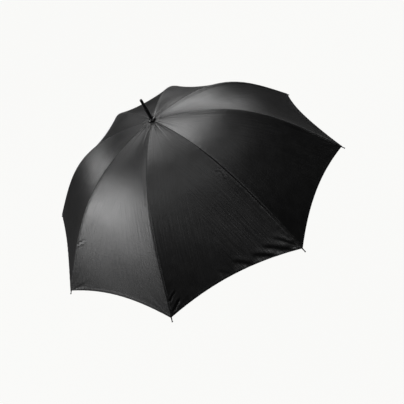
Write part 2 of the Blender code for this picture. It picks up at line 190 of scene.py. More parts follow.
# ------------------------------------------------------------------ materials
class Nodes:
    """A small helper to wire a material's nodes."""

    def __init__(self, name):
        self.mat = bpy.data.materials.new(name)
        self.mat.use_nodes = True
        self.tree = self.mat.node_tree
        self.shader = self.tree.nodes["Principled BSDF"]
        self.out = self.tree.nodes["Material Output"]

    def add(self, kind, **settings):
        node = self.tree.nodes.new(kind)
        for key, value in settings.items():
            if key in node.inputs:
                node.inputs[key].default_value = value
            else:
                setattr(node, key, value)
        return node

    def link(self, a, b):
        self.tree.links.new(a, b)

    def math(self, op, a, b=None, c=None, clamp=False):
        node = self.tree.nodes.new("ShaderNodeMath")
        node.operation = op
        node.use_clamp = clamp
        for i, value in enumerate((a, b, c)):
            if value is None:
                continue
            if isinstance(value, (int, float)):
                node.inputs[i].default_value = value
            else:
                self.link(value, node.inputs[i])
        return node.outputs[0]

    def ramp(self, value, low, high, to_low=0.0, to_high=1.0, smooth=False):
        node = self.tree.nodes.new("ShaderNodeMapRange")
        node.clamp = True
        if smooth:
            node.interpolation_type = "SMOOTHSTEP"
        self.link(value, node.inputs["Value"])
        for key, v in (("From Min", low), ("From Max", high), ("To Min", to_low), ("To Max", to_high)):
            node.inputs[key].default_value = v
        return node.outputs[0]

    def mix(self, factor, a, b):
        node = self.tree.nodes.new("ShaderNodeMix")
        node.data_type = "RGBA"
        for key, value in ((0, factor), (6, a), (7, b)):
            if isinstance(value, (int, float)):
                node.inputs[key].default_value = value
            elif isinstance(value, tuple):
                node.inputs[key].default_value = (*value, 1.0)
            else:
                self.link(value, node.inputs[key])
        return node.outputs[2]

    def noise(self, vector, scale, detail=3.0, rough=0.5):
        node = self.add("ShaderNodeTexNoise", Scale=scale, Detail=detail, Roughness=rough)
        self.link(vector, node.inputs["Vector"])
        return node.outputs["Fac"]

    def bump(self, height, distance, strength=1.0, normal=None):
        node = self.add("ShaderNodeBump", Strength=strength, Distance=distance)
        self.link(height, node.inputs["Height"])
        if normal is not None:
            self.link(normal, node.inputs["Normal"])
        return node.outputs["Normal"]

    def set(self, **values):
        for key, value in values.items():
            socket = self.shader.inputs[key.replace("_", " ")]
            if isinstance(value, tuple):
                socket.default_value = (*value, 1.0) if len(value) == 3 else value
            elif isinstance(value, (int, float)):
                socket.default_value = value
            else:
                self.link(value, socket)
        return self.mat


def cloth_material(name="canopy_cloth_satin", stitched=True, seam_shade=False, lining=False):
    """Black satin-faced rainwear cloth: a fine weave, a soft sheen, a row of
    stitches beside each seam and along the hem.  The seam-strip variant is
    painted shade: a darker base colour and almost no sheen on the narrow strip
    beside a seam, standing in for the shadow in the seam's valley.  lining is
    the matte, slightly paler inner side."""
    k = Nodes(name)
    uv = k.add("ShaderNodeUVMap", uv_map="cut")              # metres from the seam, metres along it
    edge = k.add("ShaderNodeUVMap", uv_map="hem")            # metres from the hem, metres along it
    sep = k.add("ShaderNodeSeparateXYZ")
    k.link(uv.outputs["UV"], sep.inputs[0])
    sep2 = k.add("ShaderNodeSeparateXYZ")
    k.link(edge.outputs["UV"], sep2.inputs[0])
    across, along = sep.outputs[0], sep.outputs[1]
    hem_d, hem_s = sep2.outputs[0], sep2.outputs[1]
    # the weave: warp and weft as two sine grids out of step with each other
    pitch = math.tau / 0.00042
    warp = k.math("SINE", k.math("MULTIPLY", across, pitch))
    weft = k.math("SINE", k.math("MULTIPLY", along, pitch))
    weave = k.math("MULTIPLY", warp, weft)
    tex = k.add("ShaderNodeTexCoord")
    cloud = k.noise(tex.outputs["Object"], 26.0, 3.0, 0.55)
    slub_map = k.add("ShaderNodeMapping")
    slub_map.inputs["Scale"].default_value = (1400.0, 22.0, 1.0)
    k.link(uv.outputs["UV"], slub_map.inputs["Vector"])
    slub = k.noise(slub_map.outputs["Vector"], 1.0, 2.0, 0.5)
    pale = 1.0 if lining else 0.35
    tone = [tuple(c * pale for c in rgb) for rgb in
            ((0.0105, 0.0105, 0.0112), (0.0155, 0.0155, 0.0162), (0.026, 0.026, 0.027))]
    base = k.mix(k.ramp(cloud, 0.35, 0.7), tone[0], tone[1])
    base = k.mix(k.ramp(slub, 0.55, 0.8, 0.0, 0.35), base, tone[2])
    normal = k.bump(weave, 0.00004, 0.17)
    normal = k.bump(cloud, 0.0012, 0.16, normal)
    # faint streaks that the pull along the gore leaves in the cloth
    pulled = k.add("ShaderNodeMapping")
    pulled.inputs["Scale"].default_value = (130.0, 7.0, 1.0)
    k.link(uv.outputs["UV"], pulled.inputs["Vector"])
    streak = k.noise(pulled.outputs["Vector"], 1.0, 3.0, 0.6)
    normal = k.bump(streak, 0.0012, 0.5, normal)
    if stitched:
        # stitches, 2.6 mm long, 2.1 mm from the seam and 6.5 mm from the hem
        def row(dist, run, offset, length=0.0026):
            line = k.math("LESS_THAN", k.math("ABSOLUTE", k.math("SUBTRACT", dist, offset)), 0.00022)
            dash = k.math("LESS_THAN", k.math("FRACT", k.math("DIVIDE", run, length)), 0.72)
            return k.math("MULTIPLY", line, dash)
        marks = k.math("MAXIMUM", row(across, along, 0.0021), row(hem_d, hem_s, 0.0065))
        base = k.mix(marks, base, (0.022, 0.022, 0.023))
        normal = k.bump(marks, 0.0001, 0.3, normal)
    # the cloth is drawn into the seam there, which takes its sheen away
    dull = k.ramp(across, 0.0010, 0.0017, 1.0, 0.0, smooth=True)
    rough = k.math("ADD", k.ramp(cloud, 0.3, 0.75, 0.36, 0.41), k.math("MULTIPLY", dull, 0.45))
    if lining:
        rough = k.math("ADD", rough, 0.12)
        return k.set(Base_Color=base, Roughness=rough, Normal=normal, Specular_IOR_Level=0.45)
    if seam_shade:
        # painted shade: the base colour is darkened and the sheen almost taken away, for the shadow in the seam's
        # valley
        base = k.mix(0.6, base, (0.0015, 0.0015, 0.0015))
        return k.set(Base_Color=base, Roughness=rough, Normal=normal, Specular_IOR_Level=0.06)
    return k.set(Base_Color=base, Roughness=rough, Normal=normal, Specular_IOR_Level=0.55)


def fibre_material(name, tint=(0.011, 0.011, 0.012), rough=0.30, axis="UV"):
    """Pultruded fibreglass: fine lengthwise streaks under a clear resin skin."""
    k = Nodes(name)
    tex = k.add("ShaderNodeTexCoord")
    grain = k.noise(tex.outputs["Object"], 900.0, 2.0, 0.6)
    cloud = k.noise(tex.outputs["Object"], 60.0, 3.0, 0.5)
    base = k.mix(k.ramp(cloud, 0.35, 0.7), tint, tuple(1.8 * c for c in tint))
    base = k.mix(k.ramp(grain, 0.62, 0.75, 0.0, 0.5), base, (0.035, 0.035, 0.036))
    return k.set(Base_Color=base, Roughness=k.ramp(cloud, 0.3, 0.7, rough, rough + 0.14),
                 Normal=k.bump(grain, 0.00003, 0.4), Coat_Weight=0.35, Coat_Roughness=0.18)


def plastic_material(name, tint=(0.009, 0.009, 0.0095), rough=0.20, texture=0.00004):
    """Injection-moulded black plastic with a faint moulded grain."""
    k = Nodes(name)
    tex = k.add("ShaderNodeTexCoord")
    grain = k.noise(tex.outputs["Object"], 1600.0, 2.0, 0.6)
    cloud = k.noise(tex.outputs["Object"], 90.0, 3.0, 0.55)
    base = k.mix(k.ramp(cloud, 0.35, 0.7), tint, tuple(1.5 * c for c in tint))
    return k.set(Base_Color=base, Roughness=k.ramp(cloud, 0.35, 0.75, rough, rough + 0.12),
                 Normal=k.bump(grain, texture, 0.5), Specular_IOR_Level=0.5)


def metal_material(name, tint, rough, fine=1400.0, lines=False):
    """Drawn or turned metal with fine marks left by the tool."""
    k = Nodes(name)
    tex = k.add("ShaderNodeTexCoord")
    mapping = k.add("ShaderNodeMapping")
    mapping.inputs["Scale"].default_value = (40.0, 40.0, 6000.0) if lines else (fine, fine, fine)
    k.link(tex.outputs["Object"], mapping.inputs["Vector"])
    marks = k.noise(mapping.outputs["Vector"], 1.0, 2.0, 0.6)
    cloud = k.noise(tex.outputs["Object"], 120.0, 3.0, 0.5)
    base = k.mix(k.ramp(cloud, 0.3, 0.7), tuple(0.8 * c for c in tint), tint)
    return k.set(Base_Color=base, Metallic=1.0, Roughness=k.ramp(marks, 0.3, 0.7, rough, rough + 0.15),
                 Normal=k.bump(marks, 0.00002, 0.4))


def foam_material(name):
    """Closed-cell foam: a matte skin full of fine open pores."""
    k = Nodes(name)
    tex = k.add("ShaderNodeTexCoord")
    cells = k.add("ShaderNodeTexVoronoi", Scale=1500.0)
    k.link(tex.outputs["Object"], cells.inputs["Vector"])
    pores = k.ramp(cells.outputs["Distance"], 0.05, 0.45)
    cloud = k.noise(tex.outputs["Object"], 70.0, 3.0, 0.6)
    base = k.mix(k.ramp(cloud, 0.3, 0.7), (0.011, 0.011, 0.0115), (0.021, 0.021, 0.0215))
    # the pores are real dips in the bump; their darkened centres are painted shade inside each small hollow
    base = k.mix(k.ramp(pores, 0.0, 0.5, 0.6, 0.0), base, (0.004, 0.004, 0.004))
    normal = k.bump(pores, 0.00012, 0.7)
    normal = k.bump(cloud, 0.0006, 0.25, normal)
    return k.set(Base_Color=base, Roughness=k.ramp(cloud, 0.3, 0.7, 0.72, 0.88), Normal=normal,
                 Sheen_Weight=0.05, Specular_IOR_Level=0.35)


def webbing_material(name):
    """The canopy's cloth doubled over and stitched near both edges."""
    k = Nodes(name)
    uv = k.add("ShaderNodeUVMap", uv_map="cut")
    sep = k.add("ShaderNodeSeparateXYZ")
    k.link(uv.outputs["UV"], sep.inputs[0])
    across, along = sep.outputs[0], sep.outputs[1]
    pitch = math.tau / 0.00045
    weave = k.math("MULTIPLY", k.math("SINE", k.math("MULTIPLY", across, pitch)),
                   k.math("SINE", k.math("MULTIPLY", along, pitch)))
    tex = k.add("ShaderNodeTexCoord")
    cloud = k.noise(tex.outputs["Object"], 60.0, 3.0, 0.55)
    line = k.math("LESS_THAN", k.math("ABSOLUTE", k.math("SUBTRACT", across, 0.0020)), 0.00024)
    dash = k.math("LESS_THAN", k.math("FRACT", k.math("DIVIDE", along, 0.0026)), 0.72)
    marks = k.math("MULTIPLY", line, dash)
    base = k.mix(k.ramp(cloud, 0.3, 0.7), (0.012, 0.012, 0.0125), (0.018, 0.018, 0.0185))
    base = k.mix(marks, base, (0.034, 0.034, 0.035))
    normal = k.bump(weave, 0.00005, 0.5)
    normal = k.bump(marks, 0.0003, 0.5, normal)
    return k.set(Base_Color=base, Roughness=k.ramp(cloud, 0.3, 0.7, 0.46, 0.56), Normal=normal,
                 Sheen_Weight=0.12, Sheen_Roughness=0.45)


CLOTH = cloth_material()
# painted shade for the shadow in each seam's valley, on a strip beside it
SEAM_SHADE_CLOTH = cloth_material("canopy_cloth_painted_seam_shade", seam_shade=True)
LINING = cloth_material("canopy_cloth_inner_side", lining=True)
# where a strip of painted seam shade lies beside a seam, by half panel: (from, to, width)
SEAM_SHADE_STRIPS = {"1b": (0.21, 0.64, 0.0039), "2b": (0.15, 0.62, 0.0020), "3b": (0.15, 0.62, 0.0020)}
TAPE = webbing_material("seam_allowance_cloth")
FIBRE = fibre_material("rib_fibreglass_rod")
TUBE = fibre_material("shaft_fibreglass_tube", rough=0.22)
PLASTIC = plastic_material("black_moulding")
GLOSS = plastic_material("black_gloss_moulding", rough=0.07, texture=0.00001)
STEEL = metal_material("spring_steel_wire", (0.55, 0.55, 0.56), 0.22)
SATIN = metal_material("satin_anodised_metal", (0.13, 0.13, 0.135), 0.30, lines=True)
FOAM = foam_material("foam_grip_skin")
THREAD = plastic_material("sewing_thread", (0.014, 0.014, 0.0145), 0.55, 0.0001)


def wear(obj, mat):
    """The material in every slot of the object."""
    if not obj.material_slots:
        obj.data.materials.append(mat)
    for s in obj.material_slots:
        s.material = mat


# --------------------------------------------------------------- mesh helpers
def shell(name, outer, normal, thickness, uvs=(), mat=None, inner_mat=None):
    """A closed thin shell from a grid of outer points and their normals.
    thickness is one number or one for each point.  uvs are (name, grid of
    pairs).  The two faces keep the surface's own normals, so that pieces
    which meet along an edge are shaded as one sheet."""
    rows, cols = outer.shape[:2]
    thickness = np.broadcast_to(np.asarray(thickness, float), (rows, cols))
    inner = outer - normal * thickness[..., None]
    verts = np.concatenate([outer.reshape(-1, 3), inner.reshape(-1, 3)])
    index = np.arange(rows * cols).reshape(rows, cols)
    a, b = index[:-1, :-1].ravel(), index[1:, :-1].ravel()
    c, d = index[1:, 1:].ravel(), index[:-1, 1:].ravel()
    top = np.stack([a, b, c, d], 1)
    low = np.stack([d, c, b, a], 1) + rows * cols
    ring = np.concatenate([index[:, 0], index[-1, 1:], index[-2::-1, -1], index[0, -2:0:-1]])
    nxt = np.roll(ring, -1)
    rim = np.stack([nxt, ring, ring + rows * cols, nxt + rows * cols], 1)
    # make the outer face look along the normals given
    q = verts[top[:, 0]], verts[top[:, 1]], verts[top[:, 2]]
    face = np.cross(q[1] - q[0], q[2] - q[0])
    if (face * normal.reshape(-1, 3)[top[:, 0]]).sum() < 0:
        top, low, rim = top[:, ::-1], low[:, ::-1], rim[:, ::-1]
    faces = np.concatenate([top, low, rim])
    mesh = bpy.data.meshes.new(name)
    mesh.from_pydata(verts.tolist(), [], faces.tolist())
    n_top = len(top)
    flat_n = normal.reshape(-1, 3)
    loops = np.zeros((len(faces) * 4, 3))
    loops[:n_top * 4] = flat_n[top.ravel()]
    loops[n_top * 4:2 * n_top * 4] = -flat_n[(low - rows * cols).ravel()]
    fv = verts[rim]
    rn = np.cross(fv[:, 1] - fv[:, 0], fv[:, 2] - fv[:, 1])
    rn /= np.maximum(np.linalg.norm(rn, axis=1, keepdims=True), 1e-12)
    loops[2 * n_top * 4:] = np.repeat(rn, 4, axis=0)
    for uv_name, grid in uvs:
        layer = mesh.uv_layers.new(name=uv_name)
        flat = np.concatenate([grid.reshape(-1, 2)] * 2)[faces.ravel()]
        layer.data.foreach_set("uv", flat.astype(np.float32).ravel())
    mesh.shade_smooth()
    mesh.normals_split_custom_set(loops.tolist())
    if mat:
        mesh.materials.append(mat)
    if inner_mat:
        mesh.materials.append(inner_mat)
        side = np.zeros(len(faces), np.int32)
        side[n_top:2 * n_top] = 1
        mesh.polygons.foreach_set("material_index", side)
    obj = bpy.data.objects.new(name, mesh)
    scene.collection.objects.link(obj)
    return obj


def lathe(name, profile, mat, steps=48, smooth=40.0, closed=True):
    """A closed profile of (radius, height) points turned once round Z."""
    mesh = bpy.data.meshes.new(name)
    bm = bmesh.new()
    rings = []
    for r, z in profile:
        if r < 1e-7:
            rings.append([bm.verts.new((0.0, 0.0, z))])
        else:
            rings.append([bm.verts.new((r * math.cos(a), r * math.sin(a), z))
                          for a in (math.tau * i / steps for i in range(steps))])
    pairs = list(zip(rings, rings[1:] + ([rings[0]] if closed else [])))
    for lo, hi in pairs:
        if len(lo) == 1 and len(hi) == 1:
            continue
        for i in range(steps):
            j = (i + 1) % steps
            if len(lo) == 1:
                bm.faces.new((lo[0], hi[j], hi[i]))
            elif len(hi) == 1:
                bm.faces.new((lo[i], lo[j], hi[0]))
            else:
                bm.faces.new((lo[i], lo[j], hi[j], hi[i]))
    bmesh.ops.recalc_face_normals(bm, faces=bm.faces)
    bm.to_mesh(mesh)
    bm.free()
    mesh.shade_smooth()
    mesh.set_sharp_from_angle(angle=math.radians(smooth))
    mesh.materials.append(mat)
    obj = bpy.data.objects.new(name, mesh)
    scene.collection.objects.link(obj)
    return obj


def tube(name, points, radii, mat, sides=12):
    """A filled rod through points, with round-ish ends."""
    pts = [Vector(p) for p in points]
    mesh = bpy.data.meshes.new(name)
    bm = bmesh.new()
    rings = []
    ref = Vector((0, 0, 1))
    first = (pts[1] - pts[0]).normalized()
    side = first.cross(ref).normalized() if abs(first.dot(ref)) < 0.99 else Vector((1, 0, 0))
    for i, p in enumerate(pts):
        d = (pts[min(i + 1, len(pts) - 1)] - pts[max(i - 1, 0)]).normalized()
        side = (side - d * side.dot(d)).normalized()
        up = d.cross(side)
        rings.append([bm.verts.new(p + (side * math.cos(a) + up * math.sin(a)) * radii[i])
                      for a in (math.tau * j / sides for j in range(sides))])
    for lo, hi in zip(rings, rings[1:]):
        for i in range(sides):
            j = (i + 1) % sides
            bm.faces.new((lo[i], lo[j], hi[j], hi[i]))
    bm.faces.new(list(reversed(rings[0])))
    bm.faces.new(rings[-1])
    bmesh.ops.recalc_face_normals(bm, faces=bm.faces)
    bm.to_mesh(mesh)
    bm.free()
    mesh.shade_smooth()
    mesh.set_sharp_from_angle(angle=math.radians(50))
    mesh.materials.append(mat)
    obj = bpy.data.objects.new(name, mesh)
    scene.collection.objects.link(obj)
    return obj


# ------------------------------------------------------------ the canopy cloth
RIDGE_W, RIDGE_H = 0.0020, 0.0003       # the seam stands a little proud
SCALLOP = {n: HEM_SCALLOP for n in range(1, 9)}
SCALLOP[3] = 0.046
rng = np.random.default_rng(7)
PHASES = rng.uniform(0, math.tau, (RIBS + 1, 24))
AMPS = rng.uniform(0.6, 1.4, (RIBS + 1, 24))


def crease(s, y, a, b, width, height):
    """A soft fold along the line from a to b, in (along, across) metres.
    width is one number, or one towards the crown and one towards the hem."""
    d = np.array(b, float) - np.array(a, float)
    length = np.linalg.norm(d)
    d = d / length
    ps, py = s - a[0], y - a[1]
    run = ps * d[0] + py * d[1]
    off = (-ps * d[1] + py * d[0]) * (-1.0 if d[1] > 0 else 1.0)
    if isinstance(width, tuple):
        width = np.where(off < 0, width[0], width[1])
    fade = ease(run / (0.25 * length)) * ease((length - run) / (0.35 * length))
    return height * np.exp(-(off / width) ** 2) * fade


# folds of single panels: (start, end, width, height), each point as metres
# along the panel from the crown and metres across from its middle
FOLDS = {n: [] for n in range(1, 9)}
FOLDS[1] = [
    # pulled towards the corner at rib 2: steep on the hem side of each crest, slow on both others
    ((0.722, 0.236), (0.650, 0.166), (0.012, 0.0060), 0.0007), ((0.736, 0.240), (0.664, 0.170), (0.0060, 0.012), -0.0012),
    ((0.726, 0.214), (0.662, 0.122), (0.017, 0.0075), 0.0013), ((0.740, 0.218), (0.675, 0.126), (0.0075, 0.017), -0.0026),
    ((0.719, 0.162), (0.672, 0.078), (0.016, 0.0075), 0.0012), ((0.732, 0.160), (0.685, 0.082), (0.0075, 0.016), -0.0022),
    ((0.708, 0.082), (0.660, 0.016), (0.014, 0.0070), 0.0009), ((0.722, 0.080), (0.673, 0.020), (0.0070, 0.013), -0.0016),
    ((0.713, 0.000), (0.676, -0.040), (0.006, 0.011), -0.0008),
    # two short sharp ones at the corner at rib 1
    ((0.692, -0.231), (0.663, -0.190), 0.0040, 0.0012), ((0.699, -0.227), (0.667, -0.184), 0.0040, -0.0018),
    ((0.725, -0.232), (0.690, -0.187), 0.0045, 0.0012), ((0.733, -0.228), (0.697, -0.180), 0.0042, -0.0021),
    # a few small ones below the seam of rib 2, and a long faint one beside rib 1
    ((0.376, 0.108), (0.366, 0.133), 0.0022, 0.0007), ((0.386, 0.112), (0.376, 0.137), 0.0022, 0.0006),
    ((0.398, 0.118), (0.388, 0.143), 0.0020, 0.0005), ((0.410, 0.122), (0.400, 0.147), 0.0020, 0.0005),
    ((0.650, -0.198), (0.560, -0.140), 0.0060, 0.0006),
]
FOLDS[8] = [((0.5510, -0.200), (0.5225, -0.142), 0.0036, -0.0009), ((0.5600, -0.201), (0.5315, -0.142), 0.0036, 0.0009)]
FOLDS[4] = [((0.145, -0.016), (0.182, -0.036), 0.0022, 0.0006), ((0.150, -0.026), (0.176, -0.040), 0.0020, 0.0005)]


def relief(n, t, v, s, y, edge):
    """Height of the cloth's folds and puckers over its smooth shape."""
    gap_l, gap_r = edge + y, edge - y                    # metres from rib n and rib n + 1
    free = 1.0 - v * v
    h = np.zeros_like(t)
    # pleats that run out from the crown
    out = np.clip((s - 0.018) / 0.012, 0, 1) * np.exp(-np.maximum(s - 0.03, 0) / PLEAT_RUN[n])
    p, q = PHASES[n], AMPS[n]
    pleat = (np.sin(v * 7.5 + p[0]) * q[0] + 0.8 * np.sin(v * 12.6 + p[1]) * q[1]
             + 0.5 * np.sin(v * 18.0 + p[2]) * q[2])
    far = np.clip((s - 0.018) / 0.012, 0, 1) * np.exp(-np.maximum(s - 0.03, 0) / (PLEAT_RUN[n] + 0.015))
    fine = np.sin(v * 27.0 + p[14]) * q[3] + 0.7 * np.sin(v * 39.0 + p[15]) * q[4]
    h += PLEAT[n] * (0.00036 * out * pleat + 0.00011 * far * fine) * np.minimum(1.0, free * 3)
    # puckers beside the two seams
    for gap, m, side in ((gap_l, n, 0), (gap_r, n % RIBS + 1, 1)):
        pp = PHASES[m]
        wave = (np.sin(s * math.tau / 0.021 + pp[3] + side) * (0.6 + 0.4 * np.sin(s * 31.0 + pp[4]))
                + 0.6 * np.sin(s * math.tau / 0.034 + pp[5] + gap * 90.0))
        h += 0.00022 * wave * np.exp(-gap / 0.010) * np.minimum(1.0, gap / 0.003)
        for s0, s1, near, wide, high in PUFFS.get((n, side), ()):
            run = ease((s - s0) / 0.06) * ease((s1 - s) / 0.10)
            h += high * run * ease(gap / near) * (1.0 - ease((gap - near) / wide))
        # folds that fan out from the corner at the rib's end
        cs, cy = SEAM_LEN - s, gap
        rad = np.hypot(cs, cy)
        ang = np.arctan2(cy, np.maximum(cs, 1e-6))
        fan = np.sin(ang * 11.0 + pp[6]) + 0.7 * np.sin(ang * 19.0 + pp[7])
        env = np.exp(-((rad - 0.055) / 0.045) ** 2) * np.minimum(1.0, ang / 0.25)
        h += FAN[n][side] * 0.0009 * fan * env
    # the turned-under hem draws the cloth into small puckers
    back = np.maximum(SEAM_LEN * (1.0 - t), 0.0)
    pull = (np.sin(y * math.tau / 0.029 + p[10]) * (0.5 + 0.5 * np.sin(y * 37.0 + p[11]))
            + 0.6 * np.sin(y * math.tau / 0.017 + back * 60.0 + p[12]) * (0.5 + 0.5 * np.sin(y * 29.0 + p[13])))
    h += HEM_PULL[n] * pull * np.exp(-back / 0.016) * np.minimum(1.0, free * 3)
    # slow unevenness of hand-sewn cloth under tension
    h += 0.0007 * free * np.sin(s * 23.0 + p[8]) * np.sin(v * 3.1 + p[9]) * ease(s / 0.2)
    h += BELLY[n] * free * ease((s - 0.22) / 0.25) * ease((back + 0.02) / 0.06)
    h += FLAT[n] * free * ease((s - 0.02) / 0.10) * ease((0.42 - s) / 0.20)
    for a, b, width, height in FOLDS[n]:
        h += crease(s, y, a, b, width, height) * np.minimum(1.0, np.minimum(gap_l, gap_r) / 0.003)
    return h


PLEAT = {n: 1.0 for n in range(1, 9)}
PLEAT[1], PLEAT[8], PLEAT[7], PLEAT[3], PLEAT[4] = 1.3, 1.2, 1.2, 0.5, 0.6
PLEAT_RUN = {n: 0.050 for n in range(1, 9)}
PLEAT_RUN[1], PLEAT_RUN[8] = 0.075, 0.065
FAN = {n: [1.0, 1.0] for n in range(1, 9)}
FAN[1], FAN[8], FAN[2], FAN[7] = [0.12, 0.15], [0.42, 0.18], [0.12, 0.12], [0.3, 0.12]
FAN[3], FAN[4], FAN[6] = [0.12, 0.3], [0.5, 0.8], [0.8, 0.5]
# how far a panel bellies out of its stretched shape beyond the ribs' elbows,
# or, below zero, hangs in
BELLY = {n: 0.0 for n in range(1, 9)}
BELLY[3] = -0.0100
# how much flatter than that shape a panel is close to the crown
FLAT = {n: 0.0 for n in range(1, 9)}
FLAT[4] = 0.0050
HEM_PULL = {n: 0.00038 for n in range(1, 9)}
HEM_PULL[2], HEM_PULL[3] = 0.00025, 0.00010
# where the cloth puffs up beside a seam, by (panel, side):
# (from, to, width of the rise at the seam, width of the fall, height)
PUFFS = {(1, 1): [(0.18, 0.62, 0.0060, 0.030, 0.0006)], (2, 1): [(0.10, 0.62, 0.0040, 0.020, 0.0008)],
         (3, 1): [(0.05, 0.40, 0.0035, 0.018, 0.0009)], (1, 0): [(0.05, 0.42, 0.0030, 0.015, 0.0006)],
         (8, 1): [(0.05, 0.42, 0.0030, 0.015, 0.0006)]}


def smooth_panel(n, t, v):
    """The cloth's smooth shape in the panel's own frame, with its outward
    normal direction, as in the CAD."""
    te = t * (1.0 - SCALLOP[n] * (1.0 - v * v))
    p, d = seam(te), seam_dir(te)
    edge = p[..., 0] * math.sin(HALF)
    x = p[..., 0] * math.cos(HALF)
    mid = np.stack([d[..., 0] * math.cos(HALF), d[..., 1]], -1)
    mid /= np.linalg.norm(mid, axis=-1, keepdims=True)
    sag = PANEL_SAG * CANOPY_R * np.sin(math.pi * te) * (1.0 - v * v)
    pos = np.stack([x + mid[..., 1] * sag, v * edge, p[..., 1] - mid[..., 0] * sag + RIM_Z], -1)
    out = np.stack([-mid[..., 1], np.zeros_like(x), mid[..., 0]], -1)
    return pos, out, edge, te


def cloth_point(n, t, v):
    pos, out, edge, te = smooth_panel(n, t, v)
    s, y = arc(te), v * edge
    gap = np.minimum(edge - y, edge + y)
    h = relief(n, t, v, s, y, edge)
    ridge = ease((s - 0.020) / 0.03)
    h = h + ridge * (RIDGE_H * np.exp(-(gap / RIDGE_W) ** 2) - 0.0004 * np.exp(-(gap / 0.0007) ** 2))
    # the hem is turned under, so its band stands a little proud
    hem = (1.0 - t) * SEAM_LEN
    h = h + 0.00022 * ease((0.0105 - hem) / 0.0040) * ease(hem / 0.0010) * np.minimum(1.0, gap / 0.004)
    # under the crown patch the panels lie half a millimetre lower
    h = h - 0.0006 * ease((0.031 - s) / 0.006)
    return pos + out * h[..., None]


def cloth_grid(n, t, v):
    """Points, unit normals and both UV grids of a patch of panel n."""
    e = 1e-4
    pos = cloth_point(n, t, v)
    w = np.maximum(seam(t)[..., 0] * math.sin(HALF), 1e-3)
    ev = 0.0002 / w
    du = cloth_point(n, t + e, v) - cloth_point(n, t - e, v)
    dv = cloth_point(n, t, v + ev) - cloth_point(n, t, v - ev)
    nn = np.cross(du, dv)
    nn /= np.linalg.norm(nn, axis=-1, keepdims=True)
    nn *= np.sign(nn[..., 2:3] + nn[..., 0:1] * 0.5)
    m = turn_z((n - 0.5) * math.tau / RIBS)
    _, _, edge, te = smooth_panel(n, t, v)
    gap = np.minimum(edge - v * edge, edge + v * edge)
    cut = np.stack([gap, arc(te)], -1)
    hem = np.stack([(1.0 - t) * SEAM_LEN, v * edge + 0.3], -1)
    return pos @ m.T, nn @ m.T, cut, hem


def across(width, side, count, near=(0.0, 0.0004, 0.0008, 0.0013, 0.0019, 0.0027, 0.0038, 0.0054)):
    """v of the columns of half a panel, for rows of half width `width`:
    close together beside the seam, wider apart towards the middle."""
    scale = np.minimum(1.0, width / 0.030)[:, None]
    close = np.array(near)[None, :] * scale
    rest = np.linspace(0, 1, count + 1)[None, 1:]
    rest = 0.5 * rest + 0.5 * rest * rest
    far = close[:, -1:] + (width[:, None] - close[:, -1:]) * rest
    d = np.concatenate([close, far], 1) / width[:, None]     # 0 at the seam, 1 in the middle
    return (-1.0 + d) if side == 0 else (1.0 - d)


CUT_ELBOW = 0.470


def rows_between(t0, t1, step, extra=()):
    s0, s1 = float(arc(t0)), float(arc(t1))
    count = max(2, int(round((s1 - s0) / step)))
    s = np.linspace(s0, s1, count + 1)
    return np.unique(np.concatenate([arc_t(s), np.array(extra, float)]))


def lap_under(pos, nn, t, t_edge, thick, depth=0.00054):
    """Rows above t_edge slip under the neighbour by `depth`, and thin out so
    that no edge stands out inside."""
    d = float(arc(t_edge)) - arc(t)
    k = ease(d / 0.0015)
    return pos - nn * (depth * k)[..., None], thick * (1 - k) + 0.00014 * k


def paint_seam_shade(obj, cut, where):
    """The strip beside the seam that gets painted shade, a darker cloth standing
    in for the shadow in the seam's valley, tapered at both ends."""
    if not where:
        return
    start, stop, wide = where
    obj.data.materials.append(SEAM_SHADE_CLOTH)
    gap, s = cut[..., 0], cut[..., 1]
    reach = wide * ease((s - start) / 0.08) * ease((stop - s) / 0.10)
    inside = (np.maximum(gap[:, 1:], gap[:, :-1])[:-1] < reach[:-1, :-1]).ravel()
    slots = np.zeros(len(obj.data.polygons), np.int32)
    obj.data.polygons.foreach_get("material_index", slots)
    slots[:len(inside)][inside] = len(obj.data.materials) - 1
    obj.data.polygons.foreach_set("material_index", slots)


def chord(t0, t1, fold):
    """Frame of the flat that half a panel folds into: the rib's chord, the
    direction that points outward once closed, and a point on it."""
    a, b = seam(t0), seam(t1)
    c = (b - a) / np.linalg.norm(b - a)
    m = np.array([-c[1], c[0]])
    if math.cos(fold) * m[0] + math.sin(fold) * m[1] < 0:
        m = -m
    bow = float(np.mean([(seam(x) - a) @ m for x in np.linspace(t0, t1, 41)]))
    return m, a + m * bow


def fold_plane(rib, side, t0, t1, fold, tau, shift):
    m, anchor = chord(t0, t1, fold)
    anchor = anchor + m * shift
    a = rib_angle(rib)
    radial = np.array([math.cos(a), math.sin(a), 0.0])
    tangent = np.array([-math.sin(a), math.cos(a), 0.0]) * side
    m3 = radial * m[0] + np.array([0.0, 0.0, m[1]])
    axis = math.cos(tau) * tangent - math.sin(tau) * m3
    point = radial * anchor[0] + np.array([0.0, 0.0, anchor[1] + RIM_Z])
    return axis, point


t_hem_rows = arc_t(SEAM_LEN - np.array([0.0100, 0.0092, 0.0082, 0.0072, 0.0060, 0.0035, 0.0010, 0.0005, 0.0]))

# the cover between the cap and the elbows, as spans along each half panel:
# (name, from, to, lap under the span above, row step, columns, tilt of its
# pleat when the umbrella is closed), lengths in metres along the seam
CROWN_CUT = seam_t(0.0240)
ELBOW_S = float(arc(CUT_ELBOW))
SPANS = (("crown", float(arc(CROWN_CUT)), 0.075, 0.0, 0.0040, 18, 71.0),
         ("ring", 0.075, 0.173, 0.011, 0.0045, 22, 54.0),
         ("upper", 0.173, 0.265, 0.011, 0.0070, 26, 47.0),
         ("waist", 0.265, ELBOW_S, 0.011, 0.0070, 26, 42.0))


